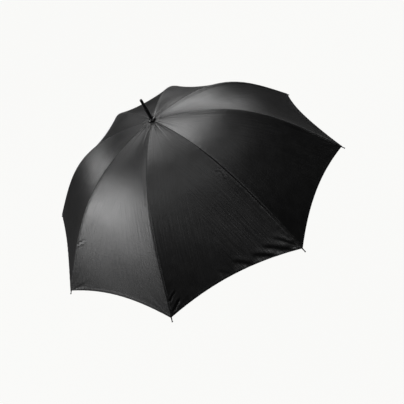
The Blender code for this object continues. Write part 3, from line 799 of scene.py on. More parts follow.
for n in range(1, RIBS + 1):
    nxt = n % RIBS + 1
    for side, rib in ((0, n), (1, nxt)):
        tag = f"{n}{'ab'[side]}"
        for span, s0, s1, lap, step, columns, tilt in SPANS:
            t_rows = rows_between(float(arc_t(s0 - lap)), float(arc_t(s1)), step,
                                  extra=[float(arc_t(s0)), float(arc_t(s0 - 0.0016))] if lap else ())
            width = seam(t_rows)[:, 0] * math.sin(HALF)
            v = across(width, side, columns)
            t = np.broadcast_to(t_rows[:, None], v.shape)
            pos, nn, cut, hem = cloth_grid(n, t, v)
            thick = CLOTH_T
            if lap:
                pos, thick = lap_under(pos, nn, t, float(arc_t(s0)), CLOTH_T)
            o = shell(f"cloth_{span}_{tag}", pos, nn, thick, (("cut", cut), ("hem", hem)), CLOTH, LINING)
            # the strip of painted seam shade beside this seam
            paint_seam_shade(o, cut, SEAM_SHADE_STRIPS.get(tag))
            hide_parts(f"canopy_panel_{n}")
            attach(o, f"arm_{rib}")
            axis, anchor = fold_plane(rib, 1 if side == 0 else -1, float(arc_t(s0)), float(arc_t(s1)), FOLD_ARM,
                                      math.radians(tilt), 0.0)
            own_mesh(o)
        # lower half: from the elbow to the hem
        t_folds = float(arc_t(0.600))
        t_rows = rows_between(CUT_ELBOW - 0.020, t_folds, 0.0070, extra=[CUT_ELBOW, CUT_ELBOW - 0.0022])
        t_rows = np.concatenate([t_rows[:-1], rows_between(t_folds, float(arc_t(SEAM_LEN - 0.0105)),
                                                           0.0030 if n == 1 else 0.0045), t_hem_rows])
        width = seam(t_rows)[:, 0] * math.sin(HALF)
        v = across(width, side, 76 if n == 1 else 48)
        t = np.broadcast_to(t_rows[:, None], v.shape)
        pos, nn, cut, hem = cloth_grid(n, t, v)
        thick = CLOTH_T + 0.0003 * ease((0.0105 - (1 - t) * SEAM_LEN) / 0.0040)
        pos, thick = lap_under(pos, nn, t, CUT_ELBOW, thick)
        o = shell(f"cloth_lower_{tag}", pos, nn, thick, (("cut", cut), ("hem", hem)), CLOTH, LINING)
        # the strip of painted seam shade beside this seam
        paint_seam_shade(o, cut, SEAM_SHADE_STRIPS.get(tag))
        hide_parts(f"canopy_panel_{n}")
        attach(o, f"arm_end_{rib}")
        axis, anchor = fold_plane(rib, 1 if side == 0 else -1, CUT_ELBOW, 1.0, FOLD_END, math.radians(42), 0.008)
        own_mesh(o)

# the middle, which the cap clamps: it bends from the cap's edge to the ring
for rib in range(1, RIBS + 1):
    t_rows = np.concatenate([arc_t(np.linspace(arc(seam_t(0.0100)), arc(seam_t(0.0140)), 4))[:-1],
                             arc_t(np.linspace(arc(seam_t(0.0140)), arc(CROWN_CUT), 12)),
                             arc_t(float(arc(CROWN_CUT)) + np.array([0.0008, 0.0016, 0.0032]))])
    halves = []
    prev = (rib - 2) % RIBS + 1
    for n, side in ((prev, 1), (rib, 0)):
        width = seam(t_rows)[:, 0] * math.sin(HALF)
        v = across(width, side, 9)
        t = np.broadcast_to(t_rows[:, None], v.shape)
        halves.append(cloth_grid(n, t, v) + (t,))
    a, b = halves
    pos, nn, cut, hem, t = [np.concatenate([x[:, ::-1], y[:, 1:]], axis=1) for x, y in zip(a, b)]
    k = ease((arc(t) - float(arc(CROWN_CUT))) / 0.0014)
    pos = pos - nn * (0.00054 * k)[..., None]
    o = shell(f"cloth_middle_{rib}", pos, nn, CLOTH_T * (1 - k) + 0.00014 * k, (("cut", cut), ("hem", hem)), CLOTH, LINING)
    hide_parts(f"canopy_panel_{rib}", f"canopy_panel_{prev}")
    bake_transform(o)

# seam allowances: the turned-in edges of two panels under each rib's seam
for rib in range(1, RIBS + 1):
    s_rows = np.linspace(0.045, SEAM_LEN - 0.020, 92)
    t_rows = arc_t(s_rows)
    p, d = seam(t_rows), seam_dir(t_rows)
    low = np.stack([d[:, 1], -d[:, 0]], -1)
    offs = np.linspace(-1.0, 1.0, 7)
    ang = rib_angle(rib)
    grid = np.zeros((len(t_rows), len(offs), 3))
    norm = np.zeros_like(grid)
    for j, k in enumerate(offs):
        w = 0.0062 * k
        drop = 0.00075 + 0.45 * abs(w) * math.tan(HALF) * 0.9
        q = p + low * drop
        grid[:, j] = np.stack([q[:, 0], np.full(len(q), w), q[:, 1] + RIM_Z], -1)
        norm[:, j] = np.stack([-low[:, 0], np.full(len(q), 0.12 * np.sign(k)), -low[:, 1]], -1)
    norm /= np.linalg.norm(norm, axis=-1, keepdims=True)
    m = turn_z(ang)
    cut = np.stack([np.broadcast_to(0.0062 - np.abs(0.0062 * offs)[None, :], grid.shape[:2]),
                    np.broadcast_to(s_rows[:, None], grid.shape[:2])], -1)
    o = shell(f"seam_allowance_{rib}", grid @ m.T, norm @ m.T, 0.0003, (("cut", cut),), TAPE)
    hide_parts(f"canopy_panel_{rib}")
    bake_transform(o)

# --------------------------------------------------------------- solid pieces
class Solid:
    """Collects closed shells in the plane of rib 1 and makes one piece of them."""

    def __init__(self):
        self.verts, self.faces = [], []

    def loft(self, rings, wrap=False):
        """Rings of points, each the same number; the ends are closed."""
        base, k = len(self.verts), len(rings[0])
        for ring in rings:
            self.verts += [tuple(p) for p in ring]
        pairs = list(range(len(rings) - 1)) + ([len(rings) - 1] if wrap else [])
        for i in pairs:
            a, b = base + i * k, base + ((i + 1) % len(rings)) * k
            for j in range(k):
                m = (j + 1) % k
                self.faces.append((a + j, a + m, b + m, b + j))
        if not wrap:
            self.faces.append(tuple(base + j for j in reversed(range(k))))
            last = base + (len(rings) - 1) * k
            self.faces.append(tuple(last + j for j in range(k)))
        return self

    def turn(self, profile, origin=(0, 0, 0), axis=(0, 0, 1), steps=24, ring=False):
        """A profile of (radius, height) turned about an axis.  ring=True joins
        its end to its start, otherwise both ends lie on the axis."""
        o, z = np.array(origin, float), np.array(axis, float)
        z = z / np.linalg.norm(z)
        x = np.cross(z, (0.0, 1.0, 0.0) if abs(z[1]) < 0.9 else (1.0, 0.0, 0.0))
        x /= np.linalg.norm(x)
        y = np.cross(z, x)
        rings = []
        for r, h in profile:
            if r < 1e-7 and not ring:
                self.verts.append(tuple(o + z * h))
                rings.append([len(self.verts) - 1])
                continue
            start = len(self.verts)
            for i in range(steps):
                a = math.tau * i / steps
                self.verts.append(tuple(o + z * h + (x * math.cos(a) + y * math.sin(a)) * r))
            rings.append(list(range(start, start + steps)))
        pairs = list(zip(rings, rings[1:])) + ([(rings[-1], rings[0])] if ring else [])
        for lo, hi in pairs:
            for i in range(steps):
                j = (i + 1) % steps
                if len(lo) == 1:
                    self.faces.append((lo[0], hi[j], hi[i]))
                elif len(hi) == 1:
                    self.faces.append((lo[i], lo[j], hi[0]))
                else:
                    self.faces.append((lo[i], lo[j], hi[j], hi[i]))
        return self

    def build(self, name, mat, rib=1, smooth=35.0):
        m = turn_z(rib_angle(rib))
        mesh = bpy.data.meshes.new(name)
        mesh.from_pydata((np.array(self.verts) @ m.T).tolist(), [], self.faces)
        bm = bmesh.new()
        bm.from_mesh(mesh)
        bmesh.ops.recalc_face_normals(bm, faces=bm.faces)
        bm.to_mesh(mesh)
        bm.free()
        mesh.shade_smooth()
        mesh.set_sharp_from_angle(angle=math.radians(smooth))
        mesh.materials.append(mat)
        obj = bpy.data.objects.new(name, mesh)
        scene.collection.objects.link(obj)
        return obj


def rounded(points, radius, count=4):
    """Corners of a profile rounded by short arcs; a corner with radius 0 stays.
    points are (r, h) or (r, h, radius)."""
    out = []
    n = len(points)
    for i, p in enumerate(points):
        rad = p[2] if len(p) > 2 else radius
        c = np.array(p[:2], float)
        a, b = np.array(points[i - 1][:2], float), np.array(points[(i + 1) % n][:2], float)
        da, db = a - c, b - c
        la, lb = np.linalg.norm(da), np.linalg.norm(db)
        if rad <= 0 or la < 1e-9 or lb < 1e-9:
            out.append(tuple(c))
            continue
        cut = min(rad, 0.45 * la, 0.45 * lb)
        pa, pb = c + da / la * cut, c + db / lb * cut
        for j in range(count + 1):
            u = j / count
            out.append(tuple((1 - u) ** 2 * pa + 2 * u * (1 - u) * c + u * u * pb))
    return out


def placed(origin, direction):
    """A function from local (along, sideways, outward) to rib 1's plane."""
    d = np.array(direction, float)
    x = np.array([d[0], 0.0, d[1]])
    z = np.array([-d[1], 0.0, d[0]])
    o = np.array([origin[0], 0.0, origin[1] + RIM_Z])
    return lambda p: o + x * p[0] + np.array([0.0, p[1], 0.0]) + z * p[2]


def oval(half_w, half_h, count=20, power=2.0):
    """A rounded section of (sideways, outward) points."""
    out = []
    for i in range(count):
        a = math.tau * i / count
        c, s = math.cos(a), math.sin(a)
        out.append((half_w * math.copysign(abs(c) ** (2 / power), c),
                    half_h * math.copysign(abs(s) ** (2 / power), s)))
    return out


def cut_by(obj, tool, bevel=0.0):
    """The tool taken away from the piece, and the new edges broken."""
    mod = obj.modifiers.new("cut", "BOOLEAN")
    mod.operation = "DIFFERENCE"
    mod.solver = "EXACT"
    mod.object = tool
    if bevel:
        edge = obj.modifiers.new("edge", "BEVEL")
        edge.width = bevel
        edge.segments = 2
        edge.limit_method = "ANGLE"
        edge.angle_limit = math.radians(45)
        edge.use_clamp_overlap = True
    deps = bpy.context.evaluated_depsgraph_get()
    mesh = bpy.data.meshes.new_from_object(obj.evaluated_get(deps))
    obj.modifiers.clear()
    old = obj.data
    mat = old.materials[0]
    obj.data = mesh
    bpy.data.meshes.remove(old)
    bpy.data.objects.remove(tool, do_unlink=True)
    mesh.materials.clear()
    mesh.materials.append(mat)
    mesh.shade_smooth()
    mesh.set_sharp_from_angle(angle=math.radians(32))
    return obj


def fitted(obj, slot, body, *nodes):
    """Slot (not used), body and the CAD nodes that the piece stands for."""
    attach(obj, body)
    if nodes:
        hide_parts(*nodes)
    return obj


# ---------------------------------------------------------------------- ribs
t_start = seam_t(NOTCH_PIVOT_R + 0.0050)
t_tip = float(arc_t(SEAM_LEN - TIP_BACK))
ts = arc_t(np.linspace(arc(t_start), arc(t_tip), 72))
line = [rib_line(t) for t in ts]
lean = line[0] - NOTCH_PIVOT
lean = lean / np.linalg.norm(lean)
line = [NOTCH_PIVOT + lean * 0.0046] + line
thick = [RIB_R * 0.97] + [RIB_R] * 32 + list(np.linspace(RIB_R, RIB_TIP_R, 40))
eye_profile = rounded([(0.0012, -0.0017), (0.0023, -0.0017), (0.0023, 0.0017), (0.0012, 0.0017)], 0.0003, 3)


def eye_end(solid, centre, direction, radius, inner, half, reach, socket, sleeve):
    """A drilled eye on a flat tab that widens into a round socket."""
    at = placed(centre, direction)
    profile = rounded([(inner, -half), (radius, -half), (radius, half), (inner, half)], 0.0003, 3)
    o = at((0.0, 0.0, 0.0))
    solid.turn(profile, o, (0.0, 1.0, 0.0), 28, ring=True)
    stations = [(inner + 0.0003, half * 0.93, radius * 0.62, 4.0), (radius * 1.02, half * 0.93, radius * 0.66, 4.0),
                (reach * 0.70, half * 0.95, radius * 0.72, 3.5), (reach * 0.85, half * 1.02, socket * 0.86, 2.8),
                (reach, socket * 0.96, socket * 0.96, 2.2), (reach + 0.0004, socket, socket, 2.0),
                (reach + sleeve - 0.0006, socket, socket, 2.0), (reach + sleeve - 0.0001, socket * 0.93, socket * 0.93, 2.0),
                (reach + sleeve, socket * 0.80, socket * 0.80, 2.0)]
    solid.loft([[at((x, y, z)) for y, z in oval(w, h, 24, p)] for x, w, h, p in stations])
    return solid


for rib in range(1, RIBS + 1):
    o = tube(f"rib_rod_{rib}", [to_world(q, rib) for q in line], thick, FIBRE, 16)
    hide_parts(f"rib_inner_{rib}", f"rib_outer_{rib}")
    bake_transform(o)
    # the moulded eye that the notch wire runs through
    s = eye_end(Solid(), NOTCH_PIVOT, lean, 0.0023, 0.0012, 0.0016, 0.0052, 0.0021, 0.0030)
    fitted(s.build(f"rib_eye_{rib}", PLASTIC, rib), "moulded_plastic", f"arm_{rib}", f"rib_inner_{rib}")

# rib ends: a turned pin that the corner of the cloth is sewn to
tip_at = rib_line(t_tip) + seam_dir(t_tip) * 0.0003
tip_dir = seam_dir((t_tip + 1) / 2)
at = placed(tip_at, tip_dir)
axis = at((1.0, 0.0, 0.0)) - at((0.0, 0.0, 0.0))
pin = [(0.0, -0.0003)] + rounded([(0.0019, -0.0003), (0.0023, 0.0010), (0.0023, 0.0044), (0.0019, 0.0050),
                                  (0.0019, 0.0064), (0.0023, 0.0070), (0.0023, 0.0125), (0.0020, 0.0160),
                                  (0.0017, 0.0196), (0.0017, 0.0236), (0.0022, 0.0246), (0.0025, 0.0256),
                                  (0.0022, 0.0268), (0.0014, 0.0276)], 0.0006, 3)[0:] + [(0.0, 0.0278)]
for rib in range(1, RIBS + 1):
    s = Solid().turn(pin, at((0.0, 0.0, 0.0)), axis, 24)
    fitted(s.build(f"rib_end_{rib}", PLASTIC, rib, 40.0), "moulded_plastic", f"arm_end_{rib}", f"rib_tip_{rib}")
    # the thread that ties the corner to the waist of the pin
    s = Solid()
    for k, x in enumerate((0.0052, 0.0057, 0.0062)):
        coil = []
        for i in range(28):
            a = math.tau * i / 28
            c = at((x + 0.00012 * math.sin(a + k), 0.0021 * math.cos(a), 0.0021 * math.sin(a)))
            coil.append((c, a))
        rings = []
        for c, a in coil:
            out = at((0.0, math.cos(a), math.sin(a))) - at((0.0, 0.0, 0.0))
            rings.append([c + out * 0.00028 * math.cos(b) + axis * 0.00028 * math.sin(b)
                          for b in (math.tau * j / 8 for j in range(8))])
        s.loft(rings, wrap=True)
    fitted(s.build(f"corner_thread_{rib}", THREAD, rib, 60.0), "canopy_cloth", f"arm_end_{rib}")


# elbow brackets: a saddle that grips the rib, with two ears for the stretcher
def saddle_section(low, inset):
    """(sideways, outward) points round the H-shaped section."""
    w, top = 0.0044 - inset, 0.0002 - inset
    c, floor, under, slot, r = 0.00205, -0.00215, -0.0036, 0.00225, 0.0004
    low = min(low + inset, under - 0.0005)
    right = [(w, top - r), (w - r * 0.3, top - r * 0.3), (w - r, top), (c + r * 0.6, top), (c, top - r * 0.6),
             (c, -0.0012), (c * 0.86, -0.0017), (c * 0.5, floor), (0.0, floor - 0.00012)]
    left = [(-y, z) for y, z in reversed(right[:-1])]
    down = [(-w, low + r), (-w + r * 0.3, low + r * 0.3), (-w + r, low), (-slot - r * 0.6, low),
            (-slot, low + r * 0.6), (-slot, under), (slot, under), (slot, low + r * 0.6), (slot + r * 0.6, low),
            (w - r, low), (w - r * 0.3, low + r * 0.3), (w, low + r)]
    return right + left + down


def ear(x):
    """Lower edge of the ears along the bracket: round about the pin."""
    r = 0.0036
    if abs(x) < r:
        return -PIN_DROP - math.sqrt(max(r * r - x * x, 0.0)) * 0.64
    f = float(ease((abs(x) - r) / 0.0030))
    return -PIN_DROP * (1 - f) + -0.0046 * f


at = placed(ELBOW, ELBOW_DIR)
stations = [(-0.0140, 0.0006), (-0.01385, 0.00025), (-0.0136, 0.0)] + [(x, 0.0) for x in np.linspace(-0.0125, -0.0038, 14)]
stations += [(x, 0.0) for x in np.linspace(-0.0036, 0.0036, 19)] + [(x, 0.0) for x in np.linspace(0.0040, 0.0072, 9)]
stations += [(0.0074, 0.0), (0.00765, 0.00025), (0.0078, 0.0006)]
head = [(0.0, 0.0)] + rounded([(0.0011, 0.0), (0.0011, 0.0002), (0.0021, 0.0002), (0.0020, 0.0008), (0.0011, 0.0011)], 0.0003, 3) + [(0.0, 0.0011)]
for rib in range(1, RIBS + 1):
    s = Solid()
    s.loft([[at((x, y, z)) for y, z in saddle_section(ear(x), inset)] for x, inset in stations])
    # two moulded bands that close round the rib
    for x0 in (-0.0118, 0.0062):
        rings = []
        for i in range(32):
            a = math.tau * i / 32
            y, z = 0.0026 * math.cos(a), 0.0026 * math.sin(a) * 0.92
            rings.append([at((x0 + 0.0009 * u, y * (1 + 0.18 * v), z * (1 + 0.18 * v)))
                          for u, v in ((-1.0, -0.6), (-0.8, 0.8), (0.0, 1.0), (0.8, 0.8), (1.0, -0.6))])
        s.loft(rings, wrap=True)
    fitted(s.build(f"elbow_clip_{rib}", PLASTIC, rib), "moulded_plastic", f"arm_{rib}", f"elbow_bracket_{rib}")
    s = Solid()
    centre = at((0.0, 0.0, -PIN_DROP))
    s.turn([(0.0, -0.0044), (0.00115, -0.0044), (0.00115, 0.0044), (0.0, 0.0044)], centre, (0.0, 1.0, 0.0), 20)
    s.turn(head, centre + np.array([0.0, 0.0043, 0.0]), (0.0, 1.0, 0.0), 24)
    s.turn(head, centre - np.array([0.0, 0.0043, 0.0]), (0.0, -1.0, 0.0), 24)
    fitted(s.build(f"elbow_rivet_{rib}", STEEL, rib), "steel_wire", f"arm_{rib}")

# stretchers: a fibreglass rod in a moulded eye at each end
along = PIN - RUNNER_PIVOT
along = along / np.linalg.norm(along)
for rib in range(1, RIBS + 1):
    pts = [to_world(RUNNER_PIVOT + along * x, rib) for x in np.linspace(0.012, STRETCHER_LEN - 0.012, 6)]
    o = tube(f"stretcher_rod_{rib}", pts, [0.0018] * 6, FIBRE, 16)
    fitted(o, "rib_fibreglass", f"strut_{rib}", f"stretcher_{rib}")
    s = eye_end(Solid(), RUNNER_PIVOT, along, 0.0023, 0.0014, 0.0016, 0.0085, 0.0023, 0.0140)
    eye_end(s, PIN, -along, 0.0023, 0.0014, 0.0016, 0.0085, 0.0023, 0.0110)
    fitted(s.build(f"stretcher_eyes_{rib}", PLASTIC, rib), "moulded_plastic", f"strut_{rib}", f"stretcher_{rib}")

# ------------------------------------------------------------- crown and shaft
cap_low = CROWN_Z + 0.0006
dome = [(0.0156 - 0.0064 * (1 - math.cos(a)) ** 1.0, cap_low + 0.0014 + 0.0057 * math.sin(a))
        for a in np.linspace(0.0, math.radians(78), 12)]
cap = [(0.0074, cap_low), (0.0152, cap_low), (0.0155, cap_low + 0.0005)] + dome[:-1] + [
    (0.0102, cap_low + 0.0067), (0.0096, cap_low + 0.0069), (0.0092, cap_low + 0.0071), (0.0091, cap_low + 0.0077),
    (0.0087, cap_low + 0.0080), (0.0078, cap_low + 0.0080), (0.0074, cap_low + 0.0077)]
s = Solid().turn(cap, steps=72, ring=True)
fitted(s.build("crown_cap", GLOSS), "moulded_plastic", "root", "hub_cap")

tip = CROWN_Z + FERRULE_LEN
low = CROWN_Z + 0.0007
profile = [(0.0, CROWN_Z - 0.0198), (0.0052, CROWN_Z - 0.0198), (0.0053, low), (0.0068, low), (0.0070, low + 0.0003)]
profile += [(0.0070, CROWN_Z + 0.0122), (0.00685, CROWN_Z + 0.0126), (0.00685, CROWN_Z + 0.0132), (0.0070, CROWN_Z + 0.0136)]
profile += [(0.0070, CROWN_Z + 0.0480), (0.00698, CROWN_Z + 0.0492), (0.0068, CROWN_Z + 0.0506), (0.0064, CROWN_Z + 0.0524),
            (0.0059, CROWN_Z + 0.0543), (0.0055, CROWN_Z + 0.0560), (0.0053, CROWN_Z + 0.0580)]
profile += [(0.0052 * math.cos(a), tip - 0.0052 + 0.0052 * math.sin(a)) for a in np.linspace(0.0, math.radians(84), 10)]
profile += [(0.0, tip)]
s = Solid().turn(profile, steps=48)
fitted(s.build("ferrule_pin", PLASTIC), "moulded_plastic", "root", "ferrule")

pivot_z = RIM_Z + NOTCH_PIVOT[1]
notch_top = CROWN_Z - 0.0019
body = rounded([(0.0073, pivot_z - 0.0065), (0.0166, pivot_z - 0.0065), (0.0175, pivot_z - 0.0056), (0.0175, notch_top),
                (0.0159, notch_top), (0.0159, pivot_z - 0.0011), (0.0131, pivot_z - 0.0011), (0.0131, notch_top),
                (0.0073, notch_top)], 0.0003, 2)
s = Solid().turn(body, steps=96, ring=True)
notch = s.build("notch_collar", PLASTIC)
tool = Solid()
for n in range(1, RIBS + 1):
    m = turn_z(rib_angle(n))
    tool.loft([[m @ np.array([x, y, z + pivot_z]) for y, z in ((-0.0022, -0.02), (0.0022, -0.02), (0.0022, 0.02), (-0.0022, 0.02))]
               for x in (0.0100, 0.0220)])
cut_by(notch, tool.build("notch_slots", PLASTIC), 0.00025)
fitted(notch, "moulded_plastic", "root", "top_notch")


def wire_ring(name, radius, height, gauge, body, *nodes):
    """A wire bent into a closed ring."""
    ring = [(radius + gauge * math.cos(a), height + gauge * math.sin(a)) for a in (math.tau * i / 12 for i in range(12))]
    s = Solid().turn(ring, steps=96, ring=True)
    return fitted(s.build(name, STEEL), "steel_wire", body, *nodes)


wire_ring("notch_wire_ring", NOTCH_PIVOT_R, pivot_z, 0.0007, "root", "notch_wire")
wire_ring("runner_wire_ring", RUNNER_PIVOT_R, RUNNER_Z, 0.0006, "runner")

SHAFT_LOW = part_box("shaft")[0][2]
s = Solid().turn(rounded([(0.0058, SHAFT_LOW), (0.0070, SHAFT_LOW), (0.0070, CROWN_Z + 0.0004), (0.0058, CROWN_Z + 0.0004)],
                         0.0003, 3), steps=64, ring=True)
fitted(s.build("shaft_tube", TUBE), "shaft_fibreglass", "root", "shaft")

# --------------------------------------------------------------------- runner
rz = RUNNER_Z
body = rounded([
    (0.0074, rz - 0.0500, 0.0002), (0.0098, rz - 0.0500), (0.0108, rz - 0.0490), (0.0108, rz - 0.0455),
    (0.0096, rz - 0.0440), (0.0096, rz - 0.0150, 0.0010), (0.0099, rz - 0.0145), (0.0099, rz - 0.0135),
    (0.0096, rz - 0.0130), (0.0096, rz - 0.0110, 0.0010), (0.0108, rz - 0.0092, 0.0012), (0.0156, rz - 0.0080, 0.0012),
    (0.0170, rz - 0.0064, 0.0008), (0.0170, rz - 0.0022, 0.0002), (0.0167, rz - 0.0019, 0.0), (0.0167, rz - 0.0015, 0.0),
    (0.0170, rz - 0.0012, 0.0002), (0.0170, rz + 0.0045), (0.0155, rz + 0.0060), (0.0074, rz + 0.0060, 0.0002)], 0.0006, 3)
s = Solid().turn(body, steps=96, ring=True)
runner = s.build("runner_body", PLASTIC)
tool = Solid()
for n in range(1, RIBS + 1):
    m = turn_z(rib_angle(n))
    tool.loft([[m @ np.array([x, y, z + rz]) for y, z in ((-0.0021, -0.02), (0.0021, -0.02), (0.0021, 0.02), (-0.0021, 0.02))]
               for x in (0.0103, 0.0240)])
BUTTON = math.radians(22.5)
m = turn_z(BUTTON)
tool.loft([[m @ np.array([x, y, z + rz - 0.0270]) for y, z in oval(0.0033, 0.0075, 28, 6.0)] for x in (0.0072, 0.0200)])
cut_by(runner, tool.build("runner_slots", PLASTIC), 0.00025)
fitted(runner, "moulded_plastic", "runner", "runner")
# the raised frame round the button
s = Solid()
rings = []
for i in range(48):
    a = math.tau * i / 48
    ring = []
    for grow, out in ((0.0, 0.0090), (0.0, 0.0131), (0.0003, 0.0136), (0.0008, 0.0136), (0.0011, 0.0131), (0.0011, 0.0090)):
        c, sn = math.cos(a), math.sin(a)
        y = (0.0033 + grow) * math.copysign(abs(c) ** (1 / 3), c)
        z = (0.0075 + grow * 1.4) * math.copysign(abs(sn) ** (1 / 3), sn)
        ring.append(m @ np.array([out, y, z + rz - 0.0270]))
    rings.append(ring)
s.loft(rings, wrap=True)
fitted(s.build("button_frame", PLASTIC), "moulded_plastic", "runner", "runner")
# the button: a rounded key with three ridges for the thumb
s = Solid()
rings = []
for out, shrink in ((0.0095, 0.0), (0.0140, 0.0), (0.0147, 0.0002), (0.0151, 0.0007)):
    rings.append([m @ np.array([out, y, z + rz - 0.0270]) for y, z in oval(0.0029 - shrink, 0.0071 - shrink, 40, 6.0)])
s.loft(rings)
for z0 in (-0.0030, 0.0, 0.0030):
    rings = []
    for y, k in ((-0.0021, 0.3), (-0.0019, 1.0), (0.0019, 1.0), (0.0021, 0.3)):
        rings.append([m @ np.array([0.0146 + 0.0006 * k * math.sin(b), y, z0 + 0.0006 * k * math.cos(b) + rz - 0.0270])
                      for b in (math.tau * j / 12 for j in range(12))])
    s.loft(rings)
fitted(s.build("button_key", SATIN), "satin_metal", "button", "runner_button")

low = rz + 0.0063
s = Solid().turn(rounded([(0.0073, low), (0.0092, low), (0.0098, low + 0.0008), (0.0098, low + 0.0026), (0.0095, low + 0.0029),
                          (0.0095, low + 0.0035), (0.0098, low + 0.0038), (0.0098, low + 0.0068), (0.0088, low + 0.0080),
                          (0.0073, low + 0.0080)], 0.0003, 2), steps=72, ring=True)
fitted(s.build("stop_collar", PLASTIC), "moulded_plastic", "root", "upper_stop_collar")

# --------------------------------------------------------------------- handle
low = 0.0703
s = Solid().turn(rounded([(0.0073, low), (0.0126, low), (0.0128, low + 0.0004), (0.0128, low + 0.0022, 0.0001),
                          (0.0125, low + 0.0024, 0.0), (0.0125, low + 0.0028, 0.0), (0.0127, low + 0.0031, 0.0001),
                          (0.0121, low + 0.0060, 0.0012), (0.0110, low + 0.0092, 0.0012), (0.0104, low + 0.0108),
                          (0.0098, low + 0.0115), (0.0094, low + 0.0117), (0.0073, low + 0.0117)], 0.0003, 2),
                 steps=72, ring=True)
fitted(s.build("grip_collar", SATIN), "satin_metal", "root", "handle_collar")

GRIP_LOW, GRIP_HIGH = -0.0700, 0.0700
rows = []
for f in np.linspace(0.0, 1.0, 96):
    z = GRIP_HIGH - (GRIP_HIGH - GRIP_LOW) * f
    edge = 0.0013 * (1 - math.sqrt(max(0.0, 1 - max(0.0, 1 - min(z - GRIP_LOW, GRIP_HIGH - z) / 0.0020) ** 2)))
    r = 0.0143 + 0.0012 * math.cos(math.tau * 1.5 * f) + 0.0010 * f - edge
    rows.append((r, z))
profile = [(0.0073, GRIP_LOW), (0.0073, GRIP_HIGH), (0.0120, GRIP_HIGH)] + rows + [(0.0120, GRIP_LOW)]
s = Solid().turn(profile, steps=96, ring=True)
grip = s.build("grip_foam", FOAM, 1, 50.0)
wob = np.random.default_rng(11).uniform(0, math.tau, 8)
for vert in grip.data.vertices:
    r = math.hypot(vert.co.x, vert.co.y)
    if r > 0.0125:
        a, z = math.atan2(vert.co.y, vert.co.x), vert.co.z
        k = 1.0 + 0.0065 * (math.sin(3 * a + z * 90 + wob[0]) + 0.6 * math.sin(7 * a - z * 170 + wob[1])
                            + 0.4 * math.sin(11 * a + z * 260 + wob[2])) / 2
        vert.co.x *= k
        vert.co.y *= k
fitted(grip, "foam_grip", "root", "grip")

END_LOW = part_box("end_cap")[0][2]
body = [(0.0, -0.0520), (0.0052, -0.0520), (0.0054, -0.0524), (0.0054, GRIP_LOW - 0.0003)]
body += rounded([(0.0148, GRIP_LOW - 0.0003), (0.0156, GRIP_LOW - 0.0014), (0.0156, GRIP_LOW - 0.0038), (0.01535, GRIP_LOW - 0.0041),
                 (0.01535, GRIP_LOW - 0.0047), (0.0156, GRIP_LOW - 0.0050), (0.0156, END_LOW + 0.0030),
                 (0.0147, END_LOW + 0.0009), (0.0130, END_LOW), (0.0096, END_LOW), (0.0090, END_LOW + 0.0006),
                 (0.0060, END_LOW + 0.0006)], 0.0004, 2)
body += [(0.0, END_LOW + 0.0006)]
s = Solid().turn(body, steps=72)
fitted(s.build("grip_end", PLASTIC), "moulded_plastic", "root", "end_cap")

# ------------------------------------------------------------------ tie strap
t_rows = np.linspace(0.965, 0.720, 60)
p, d = rib_line(t_rows), seam_dir(t_rows)
under = np.stack([d[:, 1], -d[:, 0]], -1)
offs = np.linspace(-1.0, 1.0, 17)
s_run = np.concatenate([[0.0], np.cumsum(np.linalg.norm(np.diff(p, axis=0), axis=1))])
strap_len = float(s_run[-1])
grid = np.zeros((len(t_rows), len(offs), 3))
norm = np.zeros_like(grid)
for j, w in enumerate(offs):
    round_end = 0.0105 - 0.0105 * math.sqrt(max(0.0, 1 - (0.96 * w) ** 2))       # the free end is rounded
    pull = ease((s_run - (strap_len - 0.03)) / 0.03) * round_end
    sway = 0.0009 * np.sin(s_run * 62.0 + 0.6) + 0.0004 * np.sin(s_run * 140.0) * w
    curl = 0.0007 * w * w
    q = p + under * (0.0030 + 0.0007 * ease(s_run / 0.03) + sway * ease(s_run / 0.04) + curl)[:, None] + d * pull[:, None]
    grid[:, j] = np.stack([q[:, 0], np.full(len(q), 0.0110 * w), q[:, 1] + RIM_Z], -1)
du = np.gradient(grid, axis=0)
dv = np.gradient(grid, axis=1)
norm = np.cross(du, dv)
norm /= np.linalg.norm(norm, axis=-1, keepdims=True)
down = np.stack([under[:, 0], np.zeros(len(under)), under[:, 1]], -1)
if (norm[:, 8] * down).sum() < 0:
    norm = -norm
m = turn_z(rib_angle(STRAP_N))
cut = np.stack([np.broadcast_to(0.0110 - np.abs(0.0110 * offs)[None, :], grid.shape[:2]),
                np.broadcast_to(s_run[:, None], grid.shape[:2])], -1)
strap = shell("tie_strap_band", (grid + norm * 0.0006) @ m.T, norm @ m.T, 0.0010, (("cut", cut),), TAPE)
fitted(strap, "canopy_cloth", f"arm_end_{STRAP_N}", "tie_strap")
# its press stud, near the free end
i = int(np.argmin(np.abs(s_run - (strap_len - 0.014))))
stud = Solid().turn([(0.0, -0.0002)] + rounded([(0.0052, -0.0002), (0.0054, 0.0006), (0.0046, 0.0012), (0.0022, 0.0014),
                                                (0.0018, 0.0010), (0.0008, 0.0010)], 0.0003, 3) + [(0.0, 0.0010)],
                    grid[i, 8] + norm[i, 8] * 0.0007, norm[i, 8], 32)
stud = fitted(stud.build("strap_stud", SATIN, STRAP_N), "satin_metal", f"arm_end_{STRAP_N}")

# --------------------------------------------------------- floor and the light
scene.view_settings.view_transform = "Standard"
world = bpy.data.worlds.new("studio")
scene.world = world
world.use_nodes = True
wt = world.node_tree
bg = wt.nodes["Background"]
bg.inputs["Color"].default_value = (1.0, 1.0, 1.0, 1.0)
bg.inputs["Strength"].default_value = 0.955
dim = wt.nodes.new("ShaderNodeBackground")
dim.inputs["Color"].default_value = (1.0, 1.0, 1.0, 1.0)
dim.inputs["Strength"].default_value = 0.012
path = wt.nodes.new("ShaderNodeLightPath")
blend = wt.nodes.new("ShaderNodeMixShader")
wt.links.new(path.outputs["Is Camera Ray"], blend.inputs[0])
wt.links.new(dim.outputs[0], blend.inputs[1])
wt.links.new(bg.outputs[0], blend.inputs[2])
wt.links.new(blend.outputs[0], wt.nodes["World Output"].inputs["Surface"])

